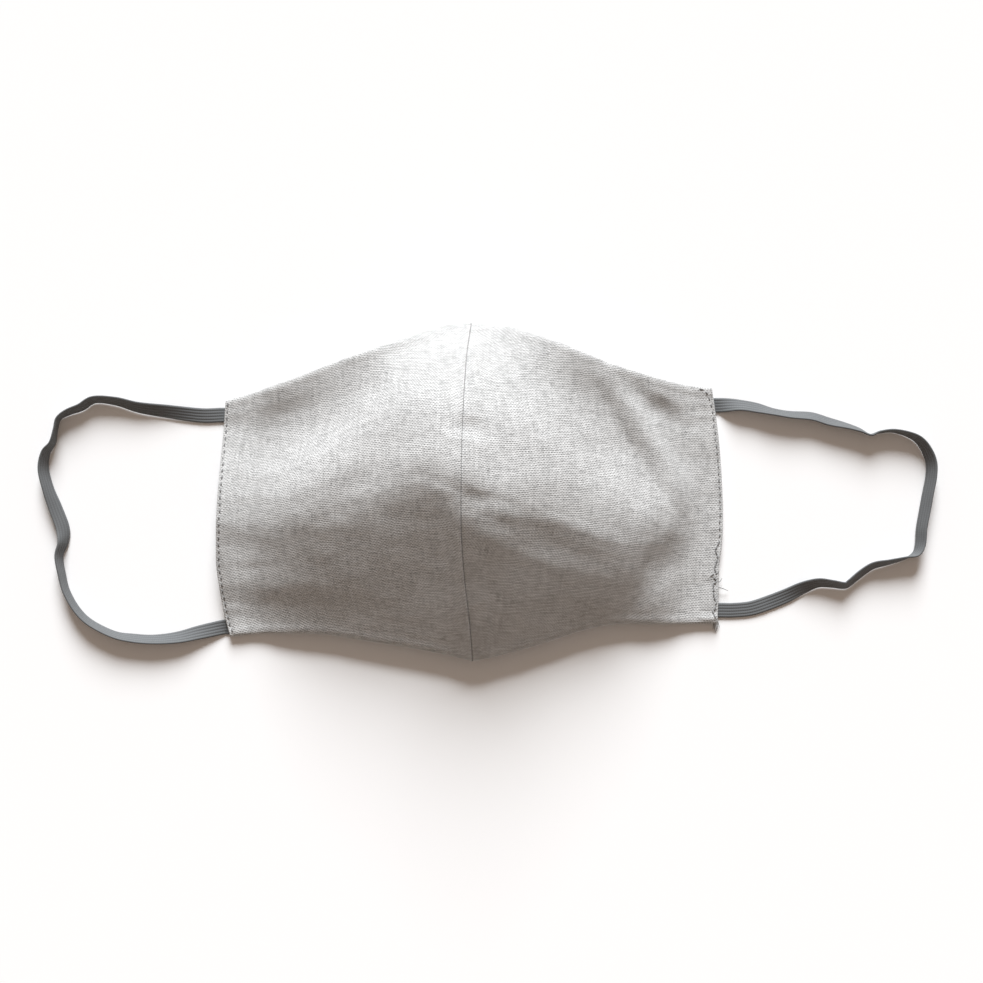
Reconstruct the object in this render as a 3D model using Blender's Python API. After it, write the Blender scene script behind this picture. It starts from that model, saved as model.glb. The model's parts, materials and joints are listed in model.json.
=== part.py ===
"""Contoured cloth face mask with two flat elastic ear loops, lying on a table with its outside up.

Two cloth panels meet in a curved seam down the middle and rise over a hollow for nose and chin. Each
panel's side edge is turned under in a hem, and the two ends of an elastic ear loop are caught beneath
that edge. Metres. +X runs across the mask, +Y from the chin to the nose, +Z up. The origin lies on the
table, under the middle of the mask without its loops.
"""

import math
from typing import NamedTuple

import bmesh
import bpy
from mathutils import Vector

# Driving sizes of the cloth body
HALF_WIDTH = 0.1071  # middle line to the widest point of a side hem
NOSE_REACH = 0.0712  # middle to the seam's top end
CHIN_REACH = 0.0712  # middle to the seam's bottom end
DOME_HEIGHT = 0.0455  # table to the crown of the seam
NOSE_LIFT = 0.0095  # table to the cloth's outer face at the seam's top end
CHIN_LIFT = 0.0075  # table to the cloth's outer face at the seam's bottom end
CLOTH = 0.0015  # outer cloth and backing cloth, sewn together
HEM_WIDTH = 0.0080  # flat side band of a panel, over its turned-under edge
HEM_CLOTH = 0.0009  # the turned-under edge itself
LEFT_SIDE_ARCH = 0.0080  # how far the left side edge arches up off the table between its corners
RIGHT_SIDE_ARCH = 0.0  # the right side edge lies flat
GAP = 0.0003  # clearance between pieces that touch

# Driving sizes of the folds in the cloth
FOLD_WIDTH = 0.0130
FOLD_DEPTH = 0.0030
FOLD_FADE = 6  # a fold has its full depth within 1/6 of the way from the hem to the seam

# Driving sizes of the elastic
ELASTIC_WIDTH = 0.0062
ELASTIC_THICKNESS = 0.0009
ELASTIC_SEAT = 0.0066  # length of each end under the panel's side band
EXIT_RUN = 0.0020  # straight and flat stretch just outside the side edge
LEFT_LOOP_REACH = 0.0770  # side edge to the loop's far side
RIGHT_LOOP_REACH = 0.0913

# How finely the solids are cut
ROWS = 26  # from the chin edge to the nose edge
COLUMNS = 22  # from the hem to the seam
HEM_COLUMNS = 1  # across the flat side band
FOLD_STEPS = 10
STEPS_PER_POINT = 2

# Height of a panel's outer face where it lies flat over the hem and the elastic
FLAT_LEVEL = max(HEM_CLOTH, ELASTIC_THICKNESS) + GAP + CLOTH


class EdgePoint(NamedTuple):
    """A point of a panel's nose or chin edge."""

    reach: float  # share of the way from the seam to the corner
    along: float  # share of NOSE_REACH or CHIN_REACH


class BowPoint(NamedTuple):
    """A point of a line that runs from the chin edge up to the nose edge."""

    up: float  # share of the way up
    out: float  # share of HALF_WIDTH from the middle line


class BeltPoint(NamedTuple):
    """A point of the belt, the line across both panels where the cloth stops rising and falls away."""

    across: float  # share of HALF_WIDTH from the middle line, below 0 on the -X side
    up: float  # share of the way from the chin edge up to the nose edge


class HeightPoint(NamedTuple):
    """A point of a height profile."""

    way: float  # share of the way along the profile
    height: float  # share of the full height


class Fold(NamedTuple):
    """A fold along a curve from start past bend to end: shares of HALF_WIDTH and of the seam's reach."""

    start_x: float
    start_y: float
    bend_x: float
    bend_y: float
    end_x: float
    end_y: float
    width: float  # share of FOLD_WIDTH
    depth: float  # share of FOLD_DEPTH, positive for a ridge and negative for a valley


class LoopPoint(NamedTuple):
    """A point of an ear loop's route, from its nose end round to its chin end."""

    out: float  # share of the loop's reach beyond the side edge
    up: float  # share of the way from the chin end to the nose end
    roll: float  # degrees by which the flat band leans out of the level


# Seam between the panels, which wanders off the middle line
SEAM = [
    BowPoint(0.00, 0.011),
    BowPoint(0.12, 0.000),
    BowPoint(0.30, -0.023),
    BowPoint(0.42, -0.029),
    BowPoint(0.62, -0.026),
    BowPoint(0.75, -0.020),
    BowPoint(0.89, -0.010),
    BowPoint(1.00, 0.007),
]

# Place of the belt, which sags into a lobe on each side of the seam
BELT = [
    BeltPoint(-1.00, 0.580),
    BeltPoint(-0.85, 0.500),
    BeltPoint(-0.67, 0.465),
    BeltPoint(-0.37, 0.518),
    BeltPoint(-0.18, 0.538),
    BeltPoint(-0.03, 0.486),
    BeltPoint(0.12, 0.425),
    BeltPoint(0.29, 0.415),
    BeltPoint(0.43, 0.368),
    BeltPoint(0.55, 0.325),
    BeltPoint(0.67, 0.335),
    BeltPoint(0.82, 0.425),
    BeltPoint(1.00, 0.470),
]

# Height from the chin edge over the belt to the nose edge, above the straight line between the edges
BELT_WAY = 0.49  # the row of SEAM_ARCH that lies on the belt
SEAM_ARCH = [
    HeightPoint(0.00, 0.00),
    HeightPoint(0.12, 0.27),
    HeightPoint(0.25, 0.53),
    HeightPoint(0.37, 0.77),
    HeightPoint(0.44, 0.91),
    HeightPoint(0.49, 0.98),
    HeightPoint(0.55, 1.00),
    HeightPoint(0.63, 0.95),
    HeightPoint(0.74, 0.80),
    HeightPoint(0.87, 0.48),
    HeightPoint(1.00, 0.00),
]

# The same for the flanks, where the cloth slopes evenly up to the belt and flares at the nose edge
FLANK_ARCH = [
    HeightPoint(0.00, 0.00),
    HeightPoint(0.12, 0.30),
    HeightPoint(0.25, 0.60),
    HeightPoint(0.37, 0.83),
    HeightPoint(0.44, 0.94),
    HeightPoint(0.50, 0.99),
    HeightPoint(0.57, 1.00),
    HeightPoint(0.66, 0.93),
    HeightPoint(0.76, 0.82),
    HeightPoint(0.86, 0.68),
    HeightPoint(0.93, 0.58),
    HeightPoint(1.00, 0.50),
]
FLANK_END = 0.50  # rise at which the flanks' arch starts to turn into the seam's
FLANK_TURN = 0.42  # rise over which it turns

# Rise of the dome from the hem's inner edge to the seam
DOME_RISE = [
    HeightPoint(0.00, 0.00),
    HeightPoint(0.06, 0.04),
    HeightPoint(0.14, 0.16),
    HeightPoint(0.26, 0.33),
    HeightPoint(0.40, 0.49),
    HeightPoint(0.55, 0.63),
    HeightPoint(0.70, 0.77),
    HeightPoint(0.85, 0.90),
    HeightPoint(1.00, 1.00),
]

# Rise of the free nose and chin edges from the hem's inner edge to the seam
EDGE_RISE = [
    HeightPoint(0.00, 0.00),
    HeightPoint(0.06, 0.12),
    HeightPoint(0.15, 0.44),
    HeightPoint(0.35, 0.74),
    HeightPoint(0.60, 0.86),
    HeightPoint(1.00, 1.00),
]

# Height of a side edge that arches up, with level ends over the elastic
SIDE_ARCH = [
    HeightPoint(0.00, 0.00),
    HeightPoint(0.06, 0.04),
    HeightPoint(0.18, 0.30),
    HeightPoint(0.30, 0.60),
    HeightPoint(0.40, 0.83),
    HeightPoint(0.49, 1.00),
    HeightPoint(0.57, 0.96),
    HeightPoint(0.66, 0.76),
    HeightPoint(0.75, 0.45),
    HeightPoint(0.83, 0.18),
    HeightPoint(0.90, 0.05),
    HeightPoint(1.00, 0.04),
]

FOLDS = [
    Fold(0.18, 0.94, 0.50, 0.77, 0.92, 0.61, 1.40, 0.72),
    Fold(0.22, 0.72, 0.42, 0.37, 0.72, 0.10, 1.50, -0.62),
    Fold(0.48, 0.56, 0.58, 0.33, 0.70, 0.02, 1.00, -0.42),
    Fold(0.55, 0.68, 0.68, 0.28, 0.92, -0.14, 0.66, 0.62),
    Fold(0.60, 0.63, 0.70, 0.48, 0.90, 0.42, 0.50, -0.36),
    Fold(0.76, 0.44, 0.84, 0.30, 0.95, 0.10, 0.90, -0.75),
    Fold(-0.02, -0.02, 0.16, -0.22, 0.50, -0.36, 0.80, -0.40),
    Fold(0.62, -0.70, 0.68, -0.42, 0.87, -0.30, 0.75, -0.25),
    Fold(0.70, -0.76, 0.76, -0.60, 0.88, -0.52, 0.70, 0.20),
    Fold(0.64, -0.06, 0.80, -0.14, 0.98, -0.16, 1.90, 0.70),
    Fold(-0.95, 0.50, -0.70, 0.67, -0.38, 0.82, 1.30, 0.62),
    Fold(-0.95, 0.20, -0.70, 0.36, -0.42, 0.61, 1.45, -0.72),
    Fold(-0.22, 0.52, -0.48, 0.30, -0.66, -0.06, 1.20, 0.60),
    Fold(-0.90, -0.64, -0.66, -0.68, -0.40, -0.70, 0.80, -0.15),
    Fold(-0.03, -0.03, 0.02, -0.05, 0.07, -0.08, 0.50, -0.36),
    Fold(-0.05, 0.38, 0.01, 0.37, 0.05, 0.35, 0.45, -0.42),
]


class Half(NamedTuple):
    """One side of the mask: its panel's outline and its ear loop."""

    name: str
    side: int  # -1 on the -X side, 1 on the +X side
    side_arch: float
    side_edge: list[BowPoint]
    nose_edge: list[EdgePoint]
    chin_edge: list[EdgePoint]
    loop_reach: float
    nose_exit: float  # share of NOSE_REACH at which the loop's nose end leaves
    chin_exit: float  # share of CHIN_REACH at which its chin end leaves
    route: list[LoopPoint]


LEFT = Half(
    name="left",
    side=-1,
    side_arch=LEFT_SIDE_ARCH,
    side_edge=[
        BowPoint(0.00, 0.949),
        BowPoint(0.10, 0.972),
        BowPoint(0.20, 0.986),
        BowPoint(0.33, 0.997),
        BowPoint(0.45, 0.994),
        BowPoint(0.60, 0.988),
        BowPoint(0.74, 0.981),
        BowPoint(0.87, 0.974),
        BowPoint(1.00, 0.966),
    ],
    nose_edge=[
        EdgePoint(0.00, 1.000),
        EdgePoint(0.06, 0.998),
        EdgePoint(0.19, 0.946),
        EdgePoint(0.40, 0.832),
        EdgePoint(0.48, 0.793),
        EdgePoint(0.57, 0.747),
        EdgePoint(0.67, 0.691),
        EdgePoint(1.00, 0.546),
    ],
    chin_edge=[
        EdgePoint(0.00, 1.000),
        EdgePoint(0.12, 0.959),
        EdgePoint(0.26, 0.920),
        EdgePoint(0.48, 0.871),
        EdgePoint(0.65, 0.839),
        EdgePoint(0.84, 0.837),
        EdgePoint(1.00, 0.858),
    ],
    loop_reach=LEFT_LOOP_REACH,
    nose_exit=0.462,
    chin_exit=0.803,
    route=[
        LoopPoint(0.136, 0.998, -8),
        LoopPoint(0.322, 1.017, -28),
        LoopPoint(0.474, 1.035, -45),
        LoopPoint(0.594, 1.063, -57),
        LoopPoint(0.715, 1.071, -66),
        LoopPoint(0.790, 1.035, -66),
        LoopPoint(0.860, 1.012, -72),
        LoopPoint(0.912, 0.982, -84),
        LoopPoint(0.930, 0.930, -88),
        LoopPoint(0.948, 0.867, -78),
        LoopPoint(0.986, 0.821, -66),
        LoopPoint(1.000, 0.745, -57),
        LoopPoint(0.976, 0.653, -53),
        LoopPoint(0.938, 0.559, -36),
        LoopPoint(0.900, 0.466, -36),
        LoopPoint(0.897, 0.401, -57),
        LoopPoint(0.920, 0.336, -70),
        LoopPoint(0.906, 0.252, -74),
        LoopPoint(0.882, 0.170, -76),
        LoopPoint(0.826, 0.084, -76),
        LoopPoint(0.752, 0.022, -74),
        LoopPoint(0.627, -0.032, -70),
        LoopPoint(0.518, -0.050, -60),
        LoopPoint(0.409, -0.056, -56),
        LoopPoint(0.278, -0.047, -42),
        LoopPoint(0.158, -0.024, -20),
    ],
)

RIGHT = Half(
    name="right",
    side=1,
    side_arch=RIGHT_SIDE_ARCH,
    side_edge=[
        BowPoint(0.00, 0.980),
        BowPoint(0.13, 0.984),
        BowPoint(0.24, 0.986),
        BowPoint(0.33, 0.996),
        BowPoint(0.40, 1.000),
        BowPoint(0.50, 1.000),
        BowPoint(0.60, 0.997),
        BowPoint(0.79, 0.984),
        BowPoint(1.00, 0.958),
    ],
    nose_edge=[
        EdgePoint(0.00, 1.000),
        EdgePoint(0.12, 0.989),
        EdgePoint(0.30, 0.907),
        EdgePoint(0.42, 0.837),
        EdgePoint(0.56, 0.760),
        EdgePoint(0.73, 0.689),
        EdgePoint(0.87, 0.646),
        EdgePoint(1.00, 0.622),
    ],
    chin_edge=[
        EdgePoint(0.00, 1.000),
        EdgePoint(0.16, 0.948),
        EdgePoint(0.30, 0.890),
        EdgePoint(0.44, 0.824),
        EdgePoint(0.60, 0.781),
        EdgePoint(0.79, 0.783),
        EdgePoint(1.00, 0.779),
    ],
    loop_reach=RIGHT_LOOP_REACH,
    nose_exit=0.520,
    chin_exit=0.702,
    route=[
        LoopPoint(0.112, 1.000, -38),
        LoopPoint(0.193, 0.987, -45),
        LoopPoint(0.272, 0.967, -60),
        LoopPoint(0.351, 0.953, -60),
        LoopPoint(0.449, 0.945, -55),
        LoopPoint(0.528, 0.920, -55),
        LoopPoint(0.609, 0.899, -66),
        LoopPoint(0.672, 0.878, -75),
        LoopPoint(0.719, 0.855, -86),
        LoopPoint(0.760, 0.868, -95),
        LoopPoint(0.825, 0.875, -97),
        LoopPoint(0.897, 0.857, -105),
        LoopPoint(0.946, 0.828, -114),
        LoopPoint(0.981, 0.777, -121),
        LoopPoint(1.000, 0.718, -125),
        LoopPoint(0.998, 0.651, -125),
        LoopPoint(0.981, 0.567, -125),
        LoopPoint(0.965, 0.483, -125),
        LoopPoint(0.949, 0.399, -123),
        LoopPoint(0.942, 0.323, -121),
        LoopPoint(0.921, 0.277, -106),
        LoopPoint(0.873, 0.256, -80),
        LoopPoint(0.793, 0.235, -68),
        LoopPoint(0.721, 0.218, -59),
        LoopPoint(0.665, 0.181, -55),
        LoopPoint(0.609, 0.134, -58),
        LoopPoint(0.585, 0.122, -62),
        LoopPoint(0.529, 0.130, -58),
        LoopPoint(0.464, 0.134, -48),
        LoopPoint(0.393, 0.109, -28),
        LoopPoint(0.320, 0.071, -10),
        LoopPoint(0.232, 0.034, 0),
        LoopPoint(0.152, 0.008, 0),
        LoopPoint(0.072, 0.000, 0),
    ],
)


def blend(low, high, share):
    """The value a share of the way from low to high."""
    return low + (high - low) * share


def profile(rows, at):
    """The smooth curve through a table's rows, with no overshoot, read at its first column."""
    slopes = [(b[1] - a[1]) / (b[0] - a[0]) for a, b in zip(rows, rows[1:])]
    tangents = [slopes[0]]
    for before, after in zip(slopes, slopes[1:]):
        turns = before * after <= 0
        tangents.append(0.0 if turns else 2 * before * after / (before + after))
    tangents.append(slopes[-1])
    last = len(rows) - 2
    index = next((i for i, row in enumerate(rows[1:]) if at <= row[0]), last)
    (x0, y0), (x1, y1) = rows[index][:2], rows[index + 1][:2]
    span = x1 - x0
    way = min(max((at - x0) / span, 0.0), 1.0)
    square, cube = way**2, way**3
    return (
        (2 * cube - 3 * square + 1) * y0
        + (cube - 2 * square + way) * span * tangents[index]
        + (3 * square - 2 * cube) * y1
        + (cube - square) * span * tangents[index + 1]
    )


def ease(share):
    """A share that starts and stops gently."""
    share = min(max(share, 0.0), 1.0)
    return share * share * (3 - 2 * share)


def signed_reach(share):
    """The distance along Y of a signed share: above 0 towards the nose, below 0 towards the chin."""
    return share * (NOSE_REACH if share > 0 else CHIN_REACH)


def fold_lines():
    """Each fold with the points of its curve, in plan."""
    lines = []
    for fold in FOLDS:
        ends = [(fold.start_x, fold.start_y), (fold.bend_x, fold.bend_y), (fold.end_x, fold.end_y)]
        start, bend, end = (Vector((x * HALF_WIDTH, signed_reach(y))) for x, y in ends)
        ways = [step / FOLD_STEPS for step in range(FOLD_STEPS + 1)]
        points = [start.lerp(bend, way).lerp(bend.lerp(end, way), way) for way in ways]
        lines.append((fold, points))
    return lines


FOLD_LINES = fold_lines()


def fold_height(x, y):
    """How far the folds lift or sink the cloth at a place in plan."""
    here = Vector((x, y))
    height = 0.0
    for fold, points in FOLD_LINES:
        gaps = [(here - point).length for point in points]
        nearest = min(range(len(gaps)), key=gaps.__getitem__)
        away = gaps[nearest] / (fold.width * FOLD_WIDTH)
        if away < 1:
            fade = math.sin(math.pi * (nearest + 1) / (FOLD_STEPS + 2)) ** 0.5
            height += fold.depth * FOLD_DEPTH * (1 - away**2) ** 2 * fade
    return height


def side_x(half, up):
    """Distance of the side edge from the middle line, a share of the way up."""
    return profile(half.side_edge, up) * HALF_WIDTH


def corners_y(half):
    """Y of the panel's chin corner and of its nose corner."""
    return -half.chin_edge[-1].along * CHIN_REACH, half.nose_edge[-1].along * NOSE_REACH


def side_share(half, y):
    """The share of the way up the side edge at a height Y."""
    low, high = corners_y(half)
    return (y - low) / (high - low)


def side_place(half, y, inset=0.0):
    """X at a height Y of the side edge, moved in towards the middle by inset."""
    return half.side * (side_x(half, side_share(half, y)) - inset)


def side_height(half, y):
    """How far the side edge arches up off the table at a height Y."""
    return profile(SIDE_ARCH, side_share(half, y)) * half.side_arch


def arch_way(x, up):
    """The place on an arch's table of a point of the cloth, with the belt drawn to where it lies here."""
    belt = profile(BELT, x / HALF_WIDTH)
    if up < belt:
        return BELT_WAY * up / belt
    return blend(BELT_WAY, 1.0, (up - belt) / (1 - belt))


def outer_point(half, rise, up):
    """A point of the panel's outer face. rise runs from the hem's inner edge to the seam."""
    seam = profile(SEAM, up) * HALF_WIDTH + half.side * GAP / 2
    edge = half.side * side_x(half, up)
    hem_share = HEM_WIDTH / abs(edge - seam)
    # Below 0, rise counts the hem's own width out to the side edge.
    share = hem_share * (1 + rise) if rise < 0 else blend(hem_share, 1.0, rise)
    x = blend(edge, seam, share)
    chin = -profile(half.chin_edge, 1 - share) * CHIN_REACH
    nose = profile(half.nose_edge, 1 - share) * NOSE_REACH
    y = blend(chin, nose, up)
    level = FLAT_LEVEL + side_height(half, y)
    if rise <= 0:
        return Vector((x, y, level))
    lift = blend(CHIN_LIFT, NOSE_LIFT, up)
    dome = profile(DOME_RISE, rise)
    level = blend(level, FLAT_LEVEL, dome)
    edges = (lift - FLAT_LEVEL) * profile(EDGE_RISE, rise)
    way = arch_way(x, up)
    arch = blend(profile(FLANK_ARCH, way), profile(SEAM_ARCH, way), ease((rise - FLANK_END) / FLANK_TURN))
    crown = (DOME_HEIGHT - lift) * arch * dome
    folds = fold_height(x, y) * ease(rise * FOLD_FADE)
    return Vector((x, y, level + edges + crown + folds))


def wall_direction(grid, row, column):
    """The direction from the outer face to the inner face at one point of the grid."""
    if column <= HEM_COLUMNS:
        # The side band keeps an even height over the hem beneath it.
        return Vector((0, 0, -1))
    last_row, last_column = len(grid) - 1, len(grid[0]) - 1
    across = grid[row][min(column + 1, last_column)] - grid[row][max(column - 1, 0)]
    along = grid[min(row + 1, last_row)][column] - grid[max(row - 1, 0)][column]
    normal = across.cross(along)
    if column == last_column:
        # The panels end in upright faces at the seam, so that they meet and don't cross.
        normal.x = 0
    return -normal.normalized() if normal.z > 0 else normal.normalized()


def quad(mesh, corners):
    """A face on four of the mesh's points."""
    mesh.faces.new(corners)


def finish_solid(name, mesh, material):
    """An object of a closed solid, with its faces pointing out."""
    bmesh.ops.recalc_face_normals(mesh, faces=mesh.faces)
    data = bpy.data.meshes.new(name)
    mesh.to_mesh(data)
    mesh.free()
    data.materials.append(material)
    data.shade_smooth()
    data.set_sharp_from_angle(angle=math.radians(40))
    solid = bpy.data.objects.new(name, data)
    bpy.context.collection.objects.link(solid)
    return solid


def panel(half, material):
    """One cloth panel, from its side edge to the seam."""
    rises = [step / HEM_COLUMNS - 1 for step in range(HEM_COLUMNS)]
    rises += [step / COLUMNS for step in range(COLUMNS + 1)]
    ups = [step / ROWS for step in range(ROWS + 1)]
    grid = [[outer_point(half, rise, up) for rise in rises] for up in ups]
    mesh = bmesh.new()
    outer, inner = [], []
    for row, points in enumerate(grid):
        outer.append([mesh.verts.new(point) for point in points])
        backs = [point + wall_direction(grid, row, i) * CLOTH for i, point in enumerate(points)]
        inner.append([mesh.verts.new(back) for back in backs])
    for row in range(len(grid) - 1):
        for column in range(len(rises) - 1):
            for face in (outer, inner):
                near, far = face[row], face[row + 1]
                quad(mesh, (near[column], near[column + 1], far[column + 1], far[column]))
        for column in (0, -1):
            ring = (outer[row], outer[row + 1], inner[row + 1], inner[row])
            quad(mesh, [line[column] for line in ring])
    for column in range(len(rises) - 1):
        for row in (0, -1):
            out, back = outer[row], inner[row]
            quad(mesh, (out[column], out[column + 1], back[column + 1], back[column]))
    return finish_solid(f"{half.name}_panel", mesh, material)


def exits(half):
    """Y of the loop's nose end and of its chin end, where they leave the side edge."""
    return half.nose_exit * NOSE_REACH, -half.chin_exit * CHIN_REACH


def hem(half, material):
    """The side edge turned under its panel, between the two ends of the elastic."""
    nose_exit, chin_exit = exits(half)
    clear = ELASTIC_WIDTH / 2 + GAP
    mesh = bmesh.new()
    rings = []
    for step in range(ROWS + 1):
        y = blend(chin_exit + clear, nose_exit - clear, step / ROWS)
        edge, inside = side_place(half, y), side_place(half, y, HEM_WIDTH)
        low = side_height(half, y)
        high = low + HEM_CLOTH
        section = [(edge, low), (inside, low), (inside, high), (edge, high)]
        rings.append([mesh.verts.new((x, y, z)) for x, z in section])
    join_rings(mesh, rings)
    return finish_solid(f"{half.name}_side_hem", mesh, material)


def join_rings(mesh, rings):
    """Faces between sections that follow each other, with both ends closed."""
    for near, far in zip(rings, rings[1:]):
        for corner in range(len(near)):
            following = (corner + 1) % len(near)
            quad(mesh, (near[corner], near[following], far[following], far[corner]))
    quad(mesh, rings[0])
    quad(mesh, rings[-1][::-1])


def loop_route(half):
    """The loop's points in plan with the band's roll: seat, exit, the route round, exit and seat."""
    nose_exit, chin_exit = exits(half)
    ends = []
    for y in (nose_exit, chin_exit):
        outs = (-ELASTIC_SEAT, -ELASTIC_SEAT / 2, 0.0, EXIT_RUN)
        ends.append([(side_place(half, y, -out), y, 0.0) for out in outs])
    middle = []
    for point in half.route:
        y = blend(chin_exit, nose_exit, point.up)
        edge = blend(side_place(half, chin_exit), side_place(half, nose_exit), point.up)
        middle.append((edge + half.side * point.out * half.loop_reach, y, math.radians(point.roll)))
    return [Vector(point) for point in ends[0] + middle + ends[1][::-1]]


def smooth_route(points):
    """Points of the smooth curve through a route's own points."""
    padded = [2 * points[0] - points[1]] + points + [2 * points[-1] - points[-2]]
    curve = []
    for before, start, end, after in zip(padded, padded[1:], padded[2:], padded[3:]):
        for step in range(STEPS_PER_POINT):
            way = step / STEPS_PER_POINT
            curve.append(
                start
                + (end - before) * (way / 2)
                + (2 * before - 5 * start + 4 * end - after) * (way**2 / 2)
                + (3 * start - before - 3 * end + after) * (way**3 / 2)
            )
    return curve + [points[-1]]


def ear_loop(half, material):
    """The flat elastic band, which lies on the table or stands on one edge."""
    points = smooth_route(loop_route(half))
    mesh = bmesh.new()
    rings = []
    for index, point in enumerate(points):
        ahead = points[min(index + 1, len(points) - 1)] - points[max(index - 1, 0)]
        left = Vector((-ahead.y, ahead.x, 0)).normalized()
        roll = point.z
        across = left * math.cos(roll) + Vector((0, 0, math.sin(roll)))
        through = Vector((0, 0, math.cos(roll))) - left * math.sin(roll)
        half_width, half_thickness = across * ELASTIC_WIDTH / 2, through * ELASTIC_THICKNESS / 2
        centre = Vector((point.x, point.y, abs(half_width.z) + abs(half_thickness.z)))
        corners = [(1, 1), (-1, 1), (-1, -1), (1, -1)]
        rings.append([mesh.verts.new(centre + half_width * a + half_thickness * b) for a, b in corners])
    join_rings(mesh, rings)
    return finish_solid(f"{half.name}_ear_loop", mesh, material)


def cloth_material(name, colour, roughness):
    """A plain matt textile finish."""
    material = bpy.data.materials.new(name)
    material.use_nodes = True
    shader = material.node_tree.nodes["Principled BSDF"]
    shader.inputs["Base Color"].default_value = (*colour, 1.0)
    shader.inputs["Roughness"].default_value = roughness
    shader.inputs["Metallic"].default_value = 0.0
    material.diffuse_color = (*colour, 1.0)
    return material


def clear_scene():
    """Remove the objects that the scene starts with."""
    for thing in list(bpy.data.objects):
        bpy.data.objects.remove(thing, do_unlink=True)


def main():
    """Build the whole mask."""
    clear_scene()
    grey_cloth = cloth_material("grey_cloth", (0.52, 0.52, 0.51), 0.9)
    turned_cloth = cloth_material("turned_cloth", (0.46, 0.46, 0.45), 0.9)
    dark_elastic = cloth_material("dark_elastic", (0.10, 0.10, 0.105), 0.85)
    for half in (LEFT, RIGHT):
        panel(half, grey_cloth)
        hem(half, turned_cloth)
        ear_loop(half, dark_elastic)


main()
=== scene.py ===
"""Looks of a contoured cloth face mask that lies on a table with its outside up.

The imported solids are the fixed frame. The two cloth panels, their turned-under side hems and the elastic
ear loops are made here as fine meshes in the places of their solids, and the sewing threads are added.
Metres. +X runs across the mask, +Y from the chin to the nose, +Z up out of the cloth.
"""

import json
import logging
import math
from dataclasses import dataclass
from enum import Enum
from typing import NamedTuple, Sequence

import bmesh
import bpy
import numpy as np
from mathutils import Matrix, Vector, noise

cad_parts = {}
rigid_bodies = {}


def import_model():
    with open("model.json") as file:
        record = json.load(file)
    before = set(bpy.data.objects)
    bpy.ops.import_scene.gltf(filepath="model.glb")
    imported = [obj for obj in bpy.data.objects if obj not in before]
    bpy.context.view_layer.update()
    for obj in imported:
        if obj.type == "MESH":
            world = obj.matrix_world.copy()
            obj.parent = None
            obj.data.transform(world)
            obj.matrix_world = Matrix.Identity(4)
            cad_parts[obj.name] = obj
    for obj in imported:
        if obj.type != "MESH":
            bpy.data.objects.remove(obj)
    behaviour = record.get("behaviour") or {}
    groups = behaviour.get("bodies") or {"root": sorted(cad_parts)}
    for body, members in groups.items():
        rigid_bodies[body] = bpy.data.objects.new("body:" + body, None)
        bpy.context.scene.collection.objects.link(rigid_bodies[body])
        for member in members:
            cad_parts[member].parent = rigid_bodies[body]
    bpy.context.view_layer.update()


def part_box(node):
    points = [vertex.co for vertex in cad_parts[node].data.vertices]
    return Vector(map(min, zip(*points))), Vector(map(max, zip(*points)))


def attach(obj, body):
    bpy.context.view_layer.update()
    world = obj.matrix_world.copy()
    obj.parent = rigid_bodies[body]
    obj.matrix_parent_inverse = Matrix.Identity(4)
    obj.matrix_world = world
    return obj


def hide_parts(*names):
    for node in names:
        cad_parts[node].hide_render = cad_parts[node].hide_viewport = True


log = logging.getLogger("face_mask")

Array = np.ndarray
Socket = bpy.types.NodeSocket
Colour = tuple[float, float, float]
Range = tuple[float, float]


class Side(Enum):
    """The two halves of the mask, each with the sign of its X."""

    LEFT = -1
    RIGHT = 1

    @property
    def word(self) -> str:
        """The side's name in a piece's name."""
        return self.name.lower()


class Wall(Enum):
    """The two faces of a panel's wall."""

    OUTER = 1
    INNER = -1


class Slot(Enum):
    """The record's material slots."""

    CLOTH = "grey_cloth"
    ELASTIC = "grey_elastic"


class EdgePoint(NamedTuple):
    """A point of a panel's nose or chin edge."""

    reach: float  # share of the way from the seam to the corner
    along: float  # share of the nose or chin reach


class BowPoint(NamedTuple):
    """A point of a line that runs from the chin edge up to the nose edge."""

    up: float  # share of the way up
    out: float  # share of the half width from the middle line


class BeltPoint(NamedTuple):
    """A point of the belt, the line across both panels where the cloth stops rising and falls away."""

    across: float  # share of the half width from the middle line, below 0 on the -X side
    up: float  # share of the way from the chin edge up to the nose edge


class HeightPoint(NamedTuple):
    """A point of a height profile."""

    way: float  # share of the way along the profile
    height: float  # share of the full height


class Fold(NamedTuple):
    """A fold along a curve from start past bend to end: shares of the half width and of the reach."""

    start_x: float
    start_y: float
    bend_x: float
    bend_y: float
    end_x: float
    end_y: float
    width: float  # share of the folds' width
    depth: float  # share of the folds' depth, positive for a ridge and negative for a valley


class LoopPoint(NamedTuple):
    """A point of an ear loop's route, from its nose end round to its chin end."""

    out: float  # share of the loop's reach beyond the side edge
    up: float  # share of the way from the chin end to the nose end
    roll: float  # degrees by which the flat band leans out of the level


class RowPoint(NamedTuple):
    """A point of a row of stitches."""

    inset: float  # distance from the side edge
    up: float  # share of the way from the chin edge up to the nose edge


class YarnEnd(NamedTuple):
    """A loose end of yarn: three places in millimetres from the corner that it hangs from."""

    start: tuple[float, float, float]
    bend: tuple[float, float, float]
    end: tuple[float, float, float]


class Wave(NamedTuple):
    """Smooth random waves of the cloth."""

    height: float
    length_x: float
    length_y: float
    layer: float  # picks one pattern of waves


class Ramp(NamedTuple):
    """A share that eases from 0 at its start to 1 at the end of its run."""

    start: float
    run: float

    def at(self, value: Array) -> Array:
        """The share at each value."""
        return ease((value - self.start) / self.run)


class Ridge(NamedTuple):
    """A low round ridge along an edge, or a valley where its height is below 0."""

    inset: float  # distance of its top from the edge
    width: float
    height: float

    def at(self, distance: Array) -> Array:
        """Its height at each distance from the edge."""
        return self.height * bump(distance - self.inset, self.width)


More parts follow.
